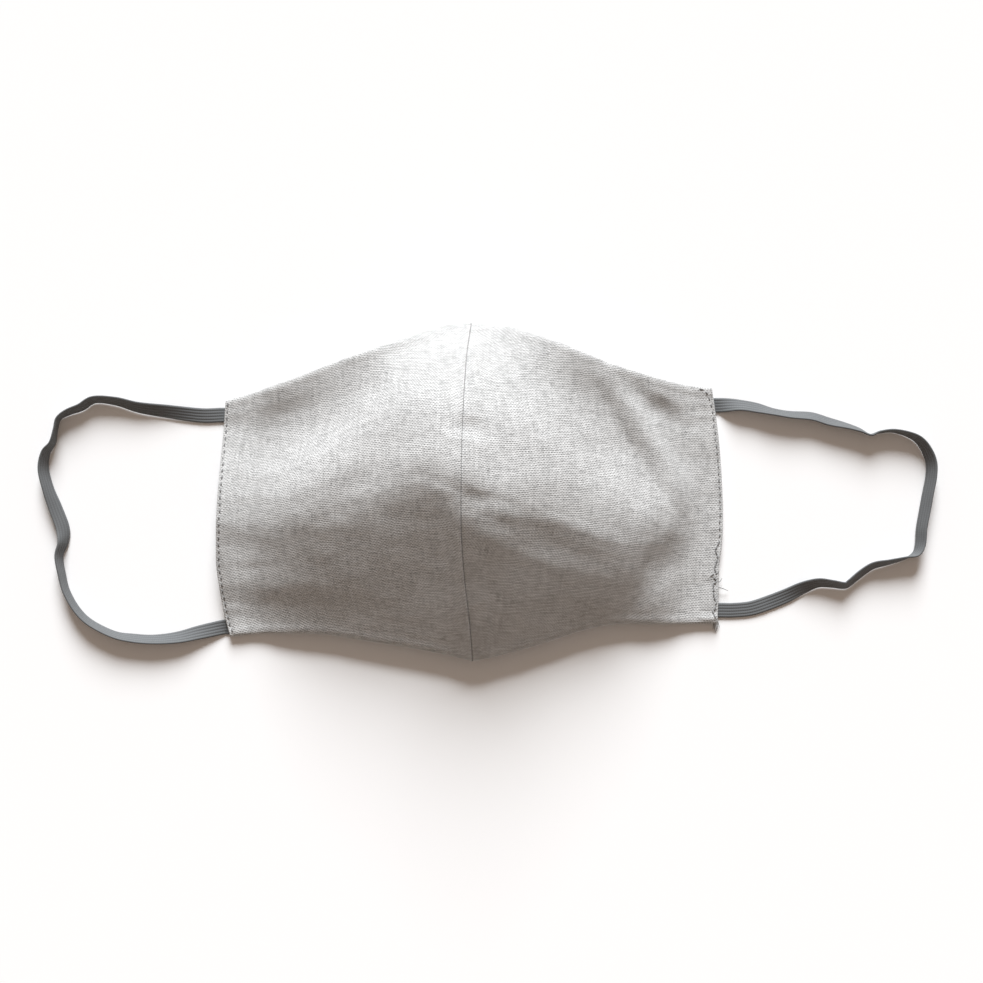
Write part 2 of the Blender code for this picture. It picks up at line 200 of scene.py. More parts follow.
class Drift(NamedTuple):
    """How threads wander in one direction: coarse noise, and a share of fine noise."""

    coarse: float
    coarse_detail: float
    fine: float
    fine_detail: float
    fine_share: float


class Yarn(NamedTuple):
    """How high one set of threads lies in the weave."""

    turn: float  # change of its height from one crossing to the next
    level: float


class Tone(NamedTuple):
    """How the tone of threads changes."""

    along: float  # noise a metre along a thread, or from crossing to crossing
    across: float  # step of the noise from thread to thread
    weight: float  # its part in the whole tone, beside a part of 1 for the warp


# Seam between the panels, which wanders off the middle line
SEAM = [
    BowPoint(0.00, 0.011),
    BowPoint(0.12, 0.000),
    BowPoint(0.30, -0.023),
    BowPoint(0.42, -0.029),
    BowPoint(0.62, -0.026),
    BowPoint(0.75, -0.020),
    BowPoint(0.89, -0.010),
    BowPoint(1.00, 0.007),
]

# Place of the belt, which sags into a lobe on each side of the seam
BELT = [
    BeltPoint(-1.00, 0.580),
    BeltPoint(-0.85, 0.500),
    BeltPoint(-0.67, 0.465),
    BeltPoint(-0.37, 0.518),
    BeltPoint(-0.18, 0.538),
    BeltPoint(-0.03, 0.486),
    BeltPoint(0.12, 0.425),
    BeltPoint(0.29, 0.415),
    BeltPoint(0.43, 0.368),
    BeltPoint(0.55, 0.325),
    BeltPoint(0.67, 0.335),
    BeltPoint(0.82, 0.425),
    BeltPoint(1.00, 0.470),
]

# Height from the chin edge over the belt to the nose edge, above the straight line between the edges
BELT_WAY = 0.49  # the row of SEAM_ARCH that lies on the belt
SEAM_ARCH = [
    HeightPoint(0.00, 0.00),
    HeightPoint(0.12, 0.27),
    HeightPoint(0.25, 0.53),
    HeightPoint(0.37, 0.77),
    HeightPoint(0.44, 0.91),
    HeightPoint(0.49, 0.98),
    HeightPoint(0.55, 1.00),
    HeightPoint(0.63, 0.95),
    HeightPoint(0.74, 0.80),
    HeightPoint(0.87, 0.48),
    HeightPoint(1.00, 0.00),
]

# The same for the flanks, where the cloth slopes evenly up to the belt and flares at the nose edge
FLANK_ARCH = [
    HeightPoint(0.00, 0.00),
    HeightPoint(0.12, 0.30),
    HeightPoint(0.25, 0.60),
    HeightPoint(0.37, 0.83),
    HeightPoint(0.44, 0.94),
    HeightPoint(0.50, 0.99),
    HeightPoint(0.57, 1.00),
    HeightPoint(0.66, 0.93),
    HeightPoint(0.76, 0.82),
    HeightPoint(0.86, 0.68),
    HeightPoint(0.93, 0.58),
    HeightPoint(1.00, 0.50),
]
FLANK_END = 0.50  # rise at which the flanks' arch starts to turn into the seam's
FLANK_TURN = 0.42  # rise over which it turns

# Rise of the dome from the hem's inner edge to the seam
DOME_RISE = [
    HeightPoint(0.00, 0.00),
    HeightPoint(0.06, 0.04),
    HeightPoint(0.14, 0.16),
    HeightPoint(0.26, 0.33),
    HeightPoint(0.40, 0.49),
    HeightPoint(0.55, 0.63),
    HeightPoint(0.70, 0.77),
    HeightPoint(0.85, 0.90),
    HeightPoint(1.00, 1.00),
]

# Rise of the free nose and chin edges from the hem's inner edge to the seam
EDGE_RISE = [
    HeightPoint(0.00, 0.00),
    HeightPoint(0.06, 0.12),
    HeightPoint(0.15, 0.44),
    HeightPoint(0.35, 0.74),
    HeightPoint(0.60, 0.86),
    HeightPoint(1.00, 1.00),
]

# Height of a side edge that arches up, with level ends over the elastic
SIDE_ARCH = [
    HeightPoint(0.00, 0.00),
    HeightPoint(0.06, 0.04),
    HeightPoint(0.18, 0.30),
    HeightPoint(0.30, 0.60),
    HeightPoint(0.40, 0.83),
    HeightPoint(0.49, 1.00),
    HeightPoint(0.57, 0.96),
    HeightPoint(0.66, 0.76),
    HeightPoint(0.75, 0.45),
    HeightPoint(0.83, 0.18),
    HeightPoint(0.90, 0.05),
    HeightPoint(1.00, 0.04),
]

# Folds of the cloth, which the solids hold too
FOLDS = [
    Fold(0.18, 0.94, 0.50, 0.77, 0.92, 0.61, 1.40, 0.72),
    Fold(0.22, 0.72, 0.42, 0.37, 0.72, 0.10, 1.50, -0.62),
    Fold(0.48, 0.56, 0.58, 0.33, 0.70, 0.02, 1.00, -0.42),
    Fold(0.55, 0.68, 0.68, 0.28, 0.92, -0.14, 0.66, 0.62),
    Fold(0.60, 0.63, 0.70, 0.48, 0.90, 0.42, 0.50, -0.36),
    Fold(0.76, 0.44, 0.84, 0.30, 0.95, 0.10, 0.90, -0.75),
    Fold(-0.02, -0.02, 0.16, -0.22, 0.50, -0.36, 0.80, -0.40),
    Fold(0.62, -0.70, 0.68, -0.42, 0.87, -0.30, 0.75, -0.25),
    Fold(0.70, -0.76, 0.76, -0.60, 0.88, -0.52, 0.70, 0.20),
    Fold(0.64, -0.06, 0.80, -0.14, 0.98, -0.16, 1.90, 0.70),
    Fold(-0.95, 0.50, -0.70, 0.67, -0.38, 0.82, 1.30, 0.62),
    Fold(-0.95, 0.20, -0.70, 0.36, -0.42, 0.61, 1.45, -0.72),
    Fold(-0.22, 0.52, -0.48, 0.30, -0.66, -0.06, 1.20, 0.60),
    Fold(-0.90, -0.64, -0.66, -0.68, -0.40, -0.70, 0.80, -0.15),
    Fold(-0.03, -0.03, 0.02, -0.05, 0.07, -0.08, 0.50, -0.36),
    Fold(-0.05, 0.38, 0.01, 0.37, 0.05, 0.35, 0.45, -0.42),
]

# Small creases, finer than the solids hold: the turned lip at the top of the seam, pulls at the belt beside
# the seam, the pressed crease of the lower right corner and the roll at its tip, and the pulls and tilts of
# the cloth near both side edges
CREASES = [
    Fold(-0.055, 0.998, -0.012, 0.965, 0.032, 0.976, 0.45, -0.80),
    Fold(0.015, -0.060, 0.08, -0.084, 0.17, -0.122, 1.90, 1.20),
    Fold(-0.03, 0.03, -0.10, 0.04, -0.20, 0.10, 1.40, -0.35),
    Fold(0.75, -0.12, 0.71, -0.40, 0.64, -0.70, 1.50, -0.55),
    Fold(0.91, -0.745, 0.945, -0.755, 0.975, -0.745, 0.70, 0.62),
    Fold(0.91, -0.705, 0.945, -0.712, 0.975, -0.705, 0.40, -0.35),
    Fold(-0.93, -0.30, -0.80, -0.36, -0.66, -0.33, 2.60, -0.50),
    Fold(-0.93, 0.06, -0.82, 0.02, -0.70, 0.05, 2.40, -0.45),
    Fold(0.93, 0.40, 0.86, 0.37, 0.76, 0.40, 2.00, -0.45),
    Fold(-0.97, 0.50, -0.78, 0.56, -0.55, 0.66, 4.00, 1.20),
    Fold(-0.84, 0.20, -0.66, 0.28, -0.46, 0.40, 4.50, -0.90),
    Fold(-0.97, -0.55, -0.85, -0.56, -0.62, -0.54, 4.00, 1.10),
]

# Waves of each panel's wall, from the longest to the shortest
WAVES = [
    Wave(0.00026, 0.016, 0.011, 2.5),
    Wave(0.00010, 0.006, 0.0045, 7.5),
    Wave(0.00004, 0.0024, 0.0020, 11.5),
]

# Short pulls of the cloth across the row of stitches
TUGS = Wave(0.00022, 0.030, 0.0042, 4.5)

# Wander of a hem's inner edge
HEM_WAVE = Wave(0.00035, 0.006, 1.0, 3.5)

# The row of stitches along each side edge, from its nose end down
STITCH_ROWS: dict[Side, Sequence[RowPoint]] = {
    Side.LEFT: [
        RowPoint(0.0013, 0.992),
        RowPoint(0.0012, 0.800),
        RowPoint(0.0013, 0.500),
        RowPoint(0.0013, 0.012),
    ],
    Side.RIGHT: [
        RowPoint(0.0062, 0.990),
        RowPoint(0.0036, 0.987),
        RowPoint(0.0020, 0.968),
        RowPoint(0.0014, 0.900),
        RowPoint(0.0013, 0.500),
        RowPoint(0.0014, 0.330),
    ],
}

# The ragged and crowded row at the lower right that locks the end of the right row of stitches
LOCK_PITCH = 0.0019
LOCK_LENGTH = 0.0024  # more than the pitch, so that its stitches lie over each other
LOCK_SWAY = 0.00022
LOCK_ROW = [
    RowPoint(0.0013, 0.345),
    RowPoint(0.0024, 0.310),
    RowPoint(0.0009, 0.275),
    RowPoint(0.0019, 0.235),
    RowPoint(0.0008, 0.215),
    RowPoint(0.0028, 0.200),
    RowPoint(0.0010, 0.178),
    RowPoint(0.0027, 0.165),
    RowPoint(0.0022, 0.120),
    RowPoint(0.0012, 0.085),
    RowPoint(0.0024, 0.050),
    RowPoint(0.0013, 0.022),
]

# Five ends at the lower right corner, and two beside the locked row
YARN_ENDS = [
    YarnEnd((-1.9, 0.6, 1.9), (-1.5, -1.2, 1.6), (-1.9, -2.6, 0.9)),
    YarnEnd((-1.0, 0.6, 1.9), (-0.6, -1.4, 1.5), (-0.1, -3.4, 0.5)),
    YarnEnd((-0.4, 0.5, 1.8), (0.2, -1.2, 1.3), (0.1, -2.6, 0.6)),
    YarnEnd((0.0, 0.8, 1.6), (0.7, -0.6, 1.2), (0.9, -1.9, 0.4)),
    YarnEnd((-1.4, 0.4, 1.9), (-1.2, -1.8, 1.2), (-0.7, -3.9, 0.3)),
    YarnEnd((0.4, 15.3, 1.8), (2.4, 14.9, 2.3), (4.6, 13.7, 0.9)),
    YarnEnd((0.5, 17.4, 1.8), (1.5, 17.9, 2.0), (1.9, 19.2, 1.4)),
]


@dataclass(frozen=True)
class Half:
    """One half of the mask: its panel's outline and its ear loop."""

    side: Side
    side_arch: float
    side_edge: Sequence[BowPoint]
    nose_edge: Sequence[EdgePoint]
    chin_edge: Sequence[EdgePoint]
    loop_reach: float
    nose_exit: float  # share of the nose reach at which the loop's nose end leaves
    chin_exit: float  # share of the chin reach at which its chin end leaves
    route: Sequence[LoopPoint]


LEFT_HALF = Half(
    side=Side.LEFT,
    side_arch=0.0080,
    side_edge=[
        BowPoint(0.00, 0.949),
        BowPoint(0.10, 0.972),
        BowPoint(0.20, 0.986),
        BowPoint(0.33, 0.997),
        BowPoint(0.45, 0.994),
        BowPoint(0.60, 0.988),
        BowPoint(0.74, 0.981),
        BowPoint(0.87, 0.974),
        BowPoint(1.00, 0.966),
    ],
    nose_edge=[
        EdgePoint(0.00, 1.000),
        EdgePoint(0.06, 0.998),
        EdgePoint(0.19, 0.946),
        EdgePoint(0.40, 0.832),
        EdgePoint(0.48, 0.793),
        EdgePoint(0.57, 0.747),
        EdgePoint(0.67, 0.691),
        EdgePoint(1.00, 0.546),
    ],
    chin_edge=[
        EdgePoint(0.00, 1.000),
        EdgePoint(0.12, 0.959),
        EdgePoint(0.26, 0.920),
        EdgePoint(0.48, 0.871),
        EdgePoint(0.65, 0.839),
        EdgePoint(0.84, 0.837),
        EdgePoint(1.00, 0.858),
    ],
    loop_reach=0.0770,
    nose_exit=0.462,
    chin_exit=0.803,
    route=[
        LoopPoint(0.136, 0.998, -8),
        LoopPoint(0.322, 1.017, -28),
        LoopPoint(0.474, 1.035, -45),
        LoopPoint(0.594, 1.063, -57),
        LoopPoint(0.715, 1.071, -66),
        LoopPoint(0.790, 1.035, -66),
        LoopPoint(0.860, 1.012, -72),
        LoopPoint(0.912, 0.982, -84),
        LoopPoint(0.930, 0.930, -88),
        LoopPoint(0.948, 0.867, -78),
        LoopPoint(0.986, 0.821, -66),
        LoopPoint(1.000, 0.745, -57),
        LoopPoint(0.976, 0.653, -53),
        LoopPoint(0.938, 0.559, -36),
        LoopPoint(0.900, 0.466, -36),
        LoopPoint(0.897, 0.401, -57),
        LoopPoint(0.920, 0.336, -70),
        LoopPoint(0.906, 0.252, -74),
        LoopPoint(0.882, 0.170, -76),
        LoopPoint(0.826, 0.084, -76),
        LoopPoint(0.752, 0.022, -74),
        LoopPoint(0.627, -0.032, -70),
        LoopPoint(0.518, -0.050, -60),
        LoopPoint(0.409, -0.056, -56),
        LoopPoint(0.278, -0.047, -42),
        LoopPoint(0.158, -0.024, -20),
    ],
)

RIGHT_HALF = Half(
    side=Side.RIGHT,
    side_arch=0.0,
    side_edge=[
        BowPoint(0.00, 0.980),
        BowPoint(0.13, 0.984),
        BowPoint(0.24, 0.986),
        BowPoint(0.33, 0.996),
        BowPoint(0.40, 1.000),
        BowPoint(0.50, 1.000),
        BowPoint(0.60, 0.997),
        BowPoint(0.79, 0.984),
        BowPoint(1.00, 0.958),
    ],
    nose_edge=[
        EdgePoint(0.00, 1.000),
        EdgePoint(0.12, 0.989),
        EdgePoint(0.30, 0.907),
        EdgePoint(0.42, 0.837),
        EdgePoint(0.56, 0.760),
        EdgePoint(0.73, 0.689),
        EdgePoint(0.87, 0.646),
        EdgePoint(1.00, 0.622),
    ],
    chin_edge=[
        EdgePoint(0.00, 1.000),
        EdgePoint(0.16, 0.948),
        EdgePoint(0.30, 0.890),
        EdgePoint(0.44, 0.824),
        EdgePoint(0.60, 0.781),
        EdgePoint(0.79, 0.783),
        EdgePoint(1.00, 0.779),
    ],
    loop_reach=0.0913,
    nose_exit=0.520,
    chin_exit=0.702,
    route=[
        LoopPoint(0.112, 1.000, -38),
        LoopPoint(0.193, 0.987, -45),
        LoopPoint(0.272, 0.967, -60),
        LoopPoint(0.351, 0.953, -60),
        LoopPoint(0.449, 0.945, -55),
        LoopPoint(0.528, 0.920, -55),
        LoopPoint(0.609, 0.899, -66),
        LoopPoint(0.672, 0.878, -75),
        LoopPoint(0.719, 0.855, -86),
        LoopPoint(0.760, 0.868, -95),
        LoopPoint(0.825, 0.875, -97),
        LoopPoint(0.897, 0.857, -105),
        LoopPoint(0.946, 0.828, -114),
        LoopPoint(0.981, 0.777, -121),
        LoopPoint(1.000, 0.718, -125),
        LoopPoint(0.998, 0.651, -125),
        LoopPoint(0.981, 0.567, -125),
        LoopPoint(0.965, 0.483, -125),
        LoopPoint(0.949, 0.399, -123),
        LoopPoint(0.942, 0.323, -121),
        LoopPoint(0.921, 0.277, -106),
        LoopPoint(0.873, 0.256, -80),
        LoopPoint(0.793, 0.235, -68),
        LoopPoint(0.721, 0.218, -59),
        LoopPoint(0.665, 0.181, -55),
        LoopPoint(0.609, 0.134, -58),
        LoopPoint(0.585, 0.122, -62),
        LoopPoint(0.529, 0.130, -58),
        LoopPoint(0.464, 0.134, -48),
        LoopPoint(0.393, 0.109, -28),
        LoopPoint(0.320, 0.071, -10),
        LoopPoint(0.232, 0.034, 0),
        LoopPoint(0.152, 0.008, 0),
        LoopPoint(0.072, 0.000, 0),
    ],
)


def blend(low: float | Array, high: float | Array, share: float | Array) -> float | Array:
    """The value a share of the way from low to high."""
    return low + (high - low) * share


def ease(share: Array) -> Array:
    """A share that starts and stops gently."""
    share = np.clip(share, 0.0, 1.0)
    return share * share * (3 - 2 * share)


def bump(distance: Array, width: float) -> Array:
    """A smooth bump that is 1 at no distance and fades over a width."""
    return np.exp(-((distance / width) ** 2))


def profile(rows: Sequence[tuple], at: float | Array) -> Array:
    """Read the smooth curve through a table's rows, which never overshoots them.

    Args:
        rows: The table, with the place in the first column and the value in the second.
        at: The places to read.

    Returns:
        The value at each place.
    """
    at = np.asarray(at, float)
    places = np.array([row[0] for row in rows])
    values = np.array([row[1] for row in rows])
    slopes = np.diff(values) / np.diff(places)
    before, after = slopes[:-1], slopes[1:]
    steady = before * after > 0
    middle = np.where(steady, 2 * before * after / np.where(steady, before + after, 1.0), 0.0)
    tangents = np.concatenate([slopes[:1], middle, slopes[-1:]])
    index = np.clip(np.searchsorted(places, at, side="left") - 1, 0, len(slopes) - 1)
    span = places[index + 1] - places[index]
    way = np.clip((at - places[index]) / span, 0.0, 1.0)
    square, cube = way**2, way**3
    return (
        (2 * cube - 3 * square + 1) * values[index]
        + (cube - 2 * square + way) * span * tangents[index]
        + (3 * square - 2 * cube) * values[index + 1]
        + (cube - square) * span * tangents[index + 1]
    )


def ripple(x: Array, y: Array, wave: Wave) -> Array:
    """Smooth random waves over the plan, between about -1 and 1.

    Args:
        x: X of each place.
        y: Y of each place.
        wave: The waves, of which the lengths and the pattern are read here.

    Returns:
        The share of the waves' height at each place.
    """
    pairs = zip(np.ravel(x) / wave.length_x, np.ravel(y) / wave.length_y)
    shares = [noise.noise(Vector((across, along, wave.layer))) for across, along in pairs]
    return np.reshape(shares, np.shape(x))


def arc_lengths(points: Array, axis: int) -> Array:
    """The distance run along one axis of a grid of points, from its first row or column.

    Args:
        points: The grid, with X, Y and Z on its last axis.
        axis: The axis to run along.

    Returns:
        The distance at each point.
    """
    steps = np.linalg.norm(np.diff(points, axis=axis), axis=-1)
    run = np.cumsum(steps, axis=axis)
    return np.insert(run, 0, 0.0, axis=axis)


def read_rows(at: Array, run: Array, rows: Array) -> Array:
    """Read rows of three values between the places that they stand at.

    Args:
        at: The places to read.
        run: The place of each row.
        rows: The rows.

    Returns:
        Three values for each place to read.
    """
    return np.stack([np.interp(at, run, rows[:, axis]) for axis in range(3)], axis=-1)


def deselect_all() -> None:
    """Leave nothing selected, so that an operator acts on its own object alone."""
    for thing in bpy.context.view_layer.objects:
        thing.select_set(False)
    bpy.context.view_layer.objects.active = None


def mesh_piece(name: str, points: Array, faces: Array, flat: Array) -> bpy.types.Object:
    """Make a smooth piece from its points, with its faces pointing out.

    Args:
        name: The piece's name.
        points: A row of X, Y and Z for each point.
        faces: A row of four point numbers for each face.
        flat: A row of two UV values for each point.

    Returns:
        The new object.
    """
    data = bpy.data.meshes.new(name)
    data.from_pydata(points.tolist(), [], faces.tolist())
    shell = bmesh.new()
    shell.from_mesh(data)
    bmesh.ops.recalc_face_normals(shell, faces=shell.faces)
    shell.to_mesh(data)
    shell.free()
    corners = np.empty(len(data.loops), np.int32)
    data.loops.foreach_get("vertex_index", corners)
    layer = data.uv_layers.new(name="flat_cloth")
    layer.data.foreach_set("uv", flat[corners].astype(np.float32).ravel())
    data.shade_smooth()
    piece = bpy.data.objects.new(name, data)
    bpy.context.scene.collection.objects.link(piece)
    return piece


def declare(piece: bpy.types.Object, replaced: str | None = None) -> None:
    """Say which body a piece rides on and which solid it replaces.

    Args:
        piece: The piece.
        replaced: The solid's name, or None for a piece that the solids leave out.
    """
    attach(piece, "root")
    if replaced:
        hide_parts(replaced)


def tube_faces(rings: int, around: int) -> Array:
    """Faces between rings of points that follow each other, with both ends closed by strips.

    Args:
        rings: The number of rings.
        around: The number of points in each ring, which is even.

    Returns:
        A row of four point numbers for each face.
    """
    ring, point = np.meshgrid(np.arange(rings - 1), np.arange(around), indexing="ij")
    following = (point + 1) % around
    near, far = ring * around, (ring + 1) * around
    sides = np.stack([near + point, near + following, far + following, far + point], axis=-1)
    faces = [sides.reshape(-1, 4)]
    for start in (0, (rings - 1) * around):
        low = np.arange(around // 2 - 1)
        high = around - 1 - low
        faces.append(start + np.stack([low, low + 1, high - 1, high], axis=-1))
    return np.concatenate(faces)


class NodeBook:
    """Short calls that add and link the nodes of one node tree."""

    def __init__(self, tree: bpy.types.NodeTree) -> None:
        """Keep the tree."""
        self.tree = tree

    def put(self, socket: Socket, value: Socket | float | tuple) -> None:
        """Link a socket to another one, or set its value.

        Args:
            socket: The socket of an input.
            value: The socket of an output, or the value.
        """
        if isinstance(value, Socket):
            self.tree.links.new(value, socket)
        else:
            socket.default_value = value

    def fill(self, node: bpy.types.Node, **inputs: Socket | float | tuple) -> bpy.types.Node:
        """Fill named inputs of a node.

        Args:
            node: The node.
            **inputs: The inputs, with an underscore for each space in their names.

        Returns:
            The same node.
        """
        for name, value in inputs.items():
            self.put(node.inputs[name.replace("_", " ")], value)
        return node

    def add(self, kind: str, **inputs: Socket | float | tuple) -> bpy.types.Node:
        """Add a node of a kind, such as ShaderNodeBump, and fill its named inputs."""
        return self.fill(self.tree.nodes.new(kind), **inputs)

    def use(self, group: bpy.types.NodeTree, **inputs: Socket | float | tuple) -> bpy.types.Node:
        """Add a node that runs a group.

        Args:
            group: The group.
            **inputs: Its inputs, with an underscore for each space in their names.

        Returns:
            The new node.
        """
        node = self.tree.nodes.new("ShaderNodeGroup")
        node.node_tree = group
        return self.fill(node, **inputs)

    def math(self, operation: str, *values: Socket | float) -> Socket:
        """Add a Math node.

        Args:
            operation: Blender's name for the operation.
            *values: What it works on, in order.

        Returns:
            Its result.
        """
        node = self.tree.nodes.new("ShaderNodeMath")
        node.operation = operation
        for socket, value in zip(node.inputs, values):
            self.put(socket, value)
        return node.outputs[0]

    def noise(self, place: Socket, scale: float, detail: float) -> Socket:
        """Add a Noise Texture and return its value, from 0 to 1."""
        return self.add("ShaderNodeTexNoise", Vector=place, Scale=scale, Detail=detail).outputs["Fac"]

    def place(self, x: Socket | float, y: Socket | float, z: Socket | float = 0.0) -> Socket:
        """Join three values to one place."""
        return self.add("ShaderNodeCombineXYZ", X=x, Y=y, Z=z).outputs[0]

    def split(self, place: Socket) -> tuple[Socket, Socket, Socket]:
        """The three values of a place."""
        found = self.add("ShaderNodeSeparateXYZ", Vector=place).outputs
        return found[0], found[1], found[2]

    def spread(self, value: Socket, ends: Range) -> Socket:
        """Map a value of 0 to 1 to a range.

        Args:
            value: The value.
            ends: The two ends of the range.

        Returns:
            The mapped value.
        """
        return self.add("ShaderNodeMapRange", Value=value, To_Min=ends[0], To_Max=ends[1]).outputs[0]

    def tint(self, share: Socket, low: Colour, high: Colour) -> Socket:
        """Mix two colours.

        Args:
            share: The share of the way from the first to the second.
            low: The first colour.
            high: The second colour.

        Returns:
            The mixed colour.
        """
        node = self.tree.nodes.new("ShaderNodeMix")
        node.data_type = "RGBA"
        colours = [socket for socket in node.inputs if socket.type == "RGBA"]
        self.put(node.inputs[0], share)
        colours[0].default_value = (*low, 1.0)
        colours[1].default_value = (*high, 1.0)
        return next(socket for socket in node.outputs if socket.type == "RGBA")

    def relief(self, shader: bpy.types.Node, height: Socket, distance: float, strength: float = 1.0) -> None:
        """Raise a shader's surface a little by a height.

        Args:
            shader: The shader.
            height: The height, from 0 to about 1.
            distance: How far a height of 1 lifts the surface.
            strength: How much of the relief shows.
        """
        bumps = self.add("ShaderNodeBump", Strength=strength, Distance=distance, Height=height)
        self.put(shader.inputs["Normal"], bumps.outputs["Normal"])


def new_finish(name: str) -> tuple[bpy.types.Material, NodeBook, bpy.types.Node]:
    """Start a material.

    Args:
        name: The material's name.

    Returns:
        The material, its node book and its shader.
    """
    material = bpy.data.materials.new(name)
    material.use_nodes = True
    return material, NodeBook(material.node_tree), material.node_tree.nodes["Principled BSDF"]


def new_group(name: str, inputs: Sequence[tuple[str, str]], outputs: Sequence[str]) -> tuple:
    """Start a shader node group.

    Args:
        name: The group's name.
        inputs: The name and the kind, Vector or Float, of each input.
        outputs: The name of each output, all of which are values.

    Returns:
        The group, its node book, the sockets of its inputs and those of its outputs.
    """
    group = bpy.data.node_groups.new(name, "ShaderNodeTree")
    for label, kind in inputs:
        group.interface.new_socket(name=label, in_out="INPUT", socket_type=f"NodeSocket{kind}")
    for label in outputs:
        group.interface.new_socket(name=label, in_out="OUTPUT", socket_type="NodeSocketFloat")
    start, end = group.nodes.new("NodeGroupInput"), group.nodes.new("NodeGroupOutput")
    return group, NodeBook(group), start.outputs, end.inputs


@dataclass(frozen=True)
class PlainWeave:
    """The plain weave: weft threads that pass over and under warp threads, with wandering, uneven yarn."""

    name: str = "plain_weave"
    up_drift: Drift = Drift(110.0, 4.0, 460.0, 2.0, 0.42)
    along_drift: Drift = Drift(80.0, 5.0, 390.0, 3.0, 0.46)
    weft: Yarn = Yarn(0.28, 0.64)
    warp: Yarn = Yarn(-0.22, 0.50)
    roundness: float = 0.7  # power of a thread's height across it, 1 for a plain sine
    float_shadow_power: float = 1.4
    weft_tone: Tone = Tone(240.0, 7.3, 1.3)
    warp_tone: Tone = Tone(90.0, 5.1, 1.0)
    cell_tone: Tone = Tone(2.3, 3.9, 0.7)
    fuzz: float = 5200.0

    def wandered(self, book: NodeBook, way: Socket, place: Socket, wander: Socket, drift: Drift) -> Socket:
        """Let a coordinate of the flat cloth wander.

        Args:
            book: The group's node book.
            way: The coordinate.
            place: The place on the flat cloth.
            wander: How far the yarn wanders.
            drift: The noise that moves it.

        Returns:
            The moved coordinate.
        """
        coarse = book.math("SUBTRACT", book.noise(place, drift.coarse, drift.coarse_detail), 0.5)
        fine = book.math("SUBTRACT", book.noise(place, drift.fine, drift.fine_detail), 0.5)
        moved = book.math("MULTIPLY_ADD", fine, drift.fine_share, coarse)
        return book.math("ADD", way, book.math("MULTIPLY", moved, wander))

    def tone(self, book: NodeBook, along: Socket, up: Socket, warp: Socket, weft: Socket) -> Socket:
        """The uneven tone of the weft threads, the warp threads and each of their crossings.

        Args:
            book: The group's node book.
            along: The distance along the weft threads.
            up: The distance along the warp threads.
            warp: The warp thread's number.
            weft: The weft thread's number.

        Returns:
            The tone, from 0 to 1.
        """
        own, other, cell = self.weft_tone, self.warp_tone, self.cell_tone
        yarn = book.place(book.math("MULTIPLY", along, own.along), book.math("MULTIPLY", weft, own.across))
        cross = book.place(book.math("MULTIPLY", warp, other.across), book.math("MULTIPLY", up, other.along))
        cell_x, cell_y = book.math("MULTIPLY", warp, cell.along), book.math("MULTIPLY", weft, cell.across)
        tone = book.math("MULTIPLY_ADD", book.noise(yarn, 1.0, 2.0), own.weight, book.noise(cross, 1.0, 2.0))
        tone = book.math("MULTIPLY_ADD", book.noise(book.place(cell_x, cell_y), 1.0, 0.0), cell.weight, tone)
        return book.math("DIVIDE", tone, own.weight + other.weight + cell.weight)

    def group(self) -> bpy.types.NodeTree:
        """Make the node group.

        Returns:
            A group that puts out the height of the threads, the painted shadow on the chin side of each weft
            float, the tone of the threads, and the fuzz on them.
        """
        inputs = [("Place", "Vector"), ("Warp Pitch", "Float"), ("Weft Pitch", "Float"), ("Wander", "Float")]
        group, book, given, result = new_group(self.name, inputs, ["Height", "Float Shadow", "Tone", "Fuzz"])
        along, up, _ = book.split(given["Place"])
        up = self.wandered(book, up, given["Place"], given["Wander"], self.up_drift)
        along = self.wandered(book, along, given["Place"], given["Wander"], self.along_drift)
        warp_way = book.math("DIVIDE", along, given["Warp Pitch"])
        weft_way = book.math("DIVIDE", up, given["Weft Pitch"])
        weft_turn = book.math("MULTIPLY", weft_way, math.pi)
        warp_wave = book.math("SINE", book.math("MULTIPLY", warp_way, math.pi))
        weft_wave = book.math("SINE", weft_turn)
        heights = []
        for own, other, yarn in ((weft_wave, warp_wave, self.weft), (warp_wave, weft_wave, self.warp)):
            round_top = book.math("POWER", book.math("ABSOLUTE", own), self.roundness)
            over = book.math("MULTIPLY", book.math("SIGN", own), other)
            lift = book.math("MULTIPLY_ADD", over, yarn.turn, yarn.level)
            heights.append(book.math("MULTIPLY", round_top, lift))
        # Painted shadow: a dark mark on the chin side of each weft float, away from the light beyond the nose
        # edge
        side = book.math("SIGN", weft_wave)
        under = book.math("MAXIMUM", book.math("MULTIPLY", side, book.math("COSINE", weft_turn)), 0.0)
        under = book.math("POWER", under, self.float_shadow_power)
        floats = book.math("MAXIMUM", book.math("MULTIPLY", side, warp_wave), 0.0)
        warp, weft = book.math("FLOOR", warp_way), book.math("FLOOR", weft_way)
        book.put(result["Height"], book.math("MAXIMUM", *heights))
        book.put(result["Float Shadow"], book.math("MULTIPLY", under, floats))
        book.put(result["Tone"], self.tone(book, along, up, warp, weft))
        book.put(result["Fuzz"], book.noise(given["Place"], self.fuzz, 2.0))
        return group


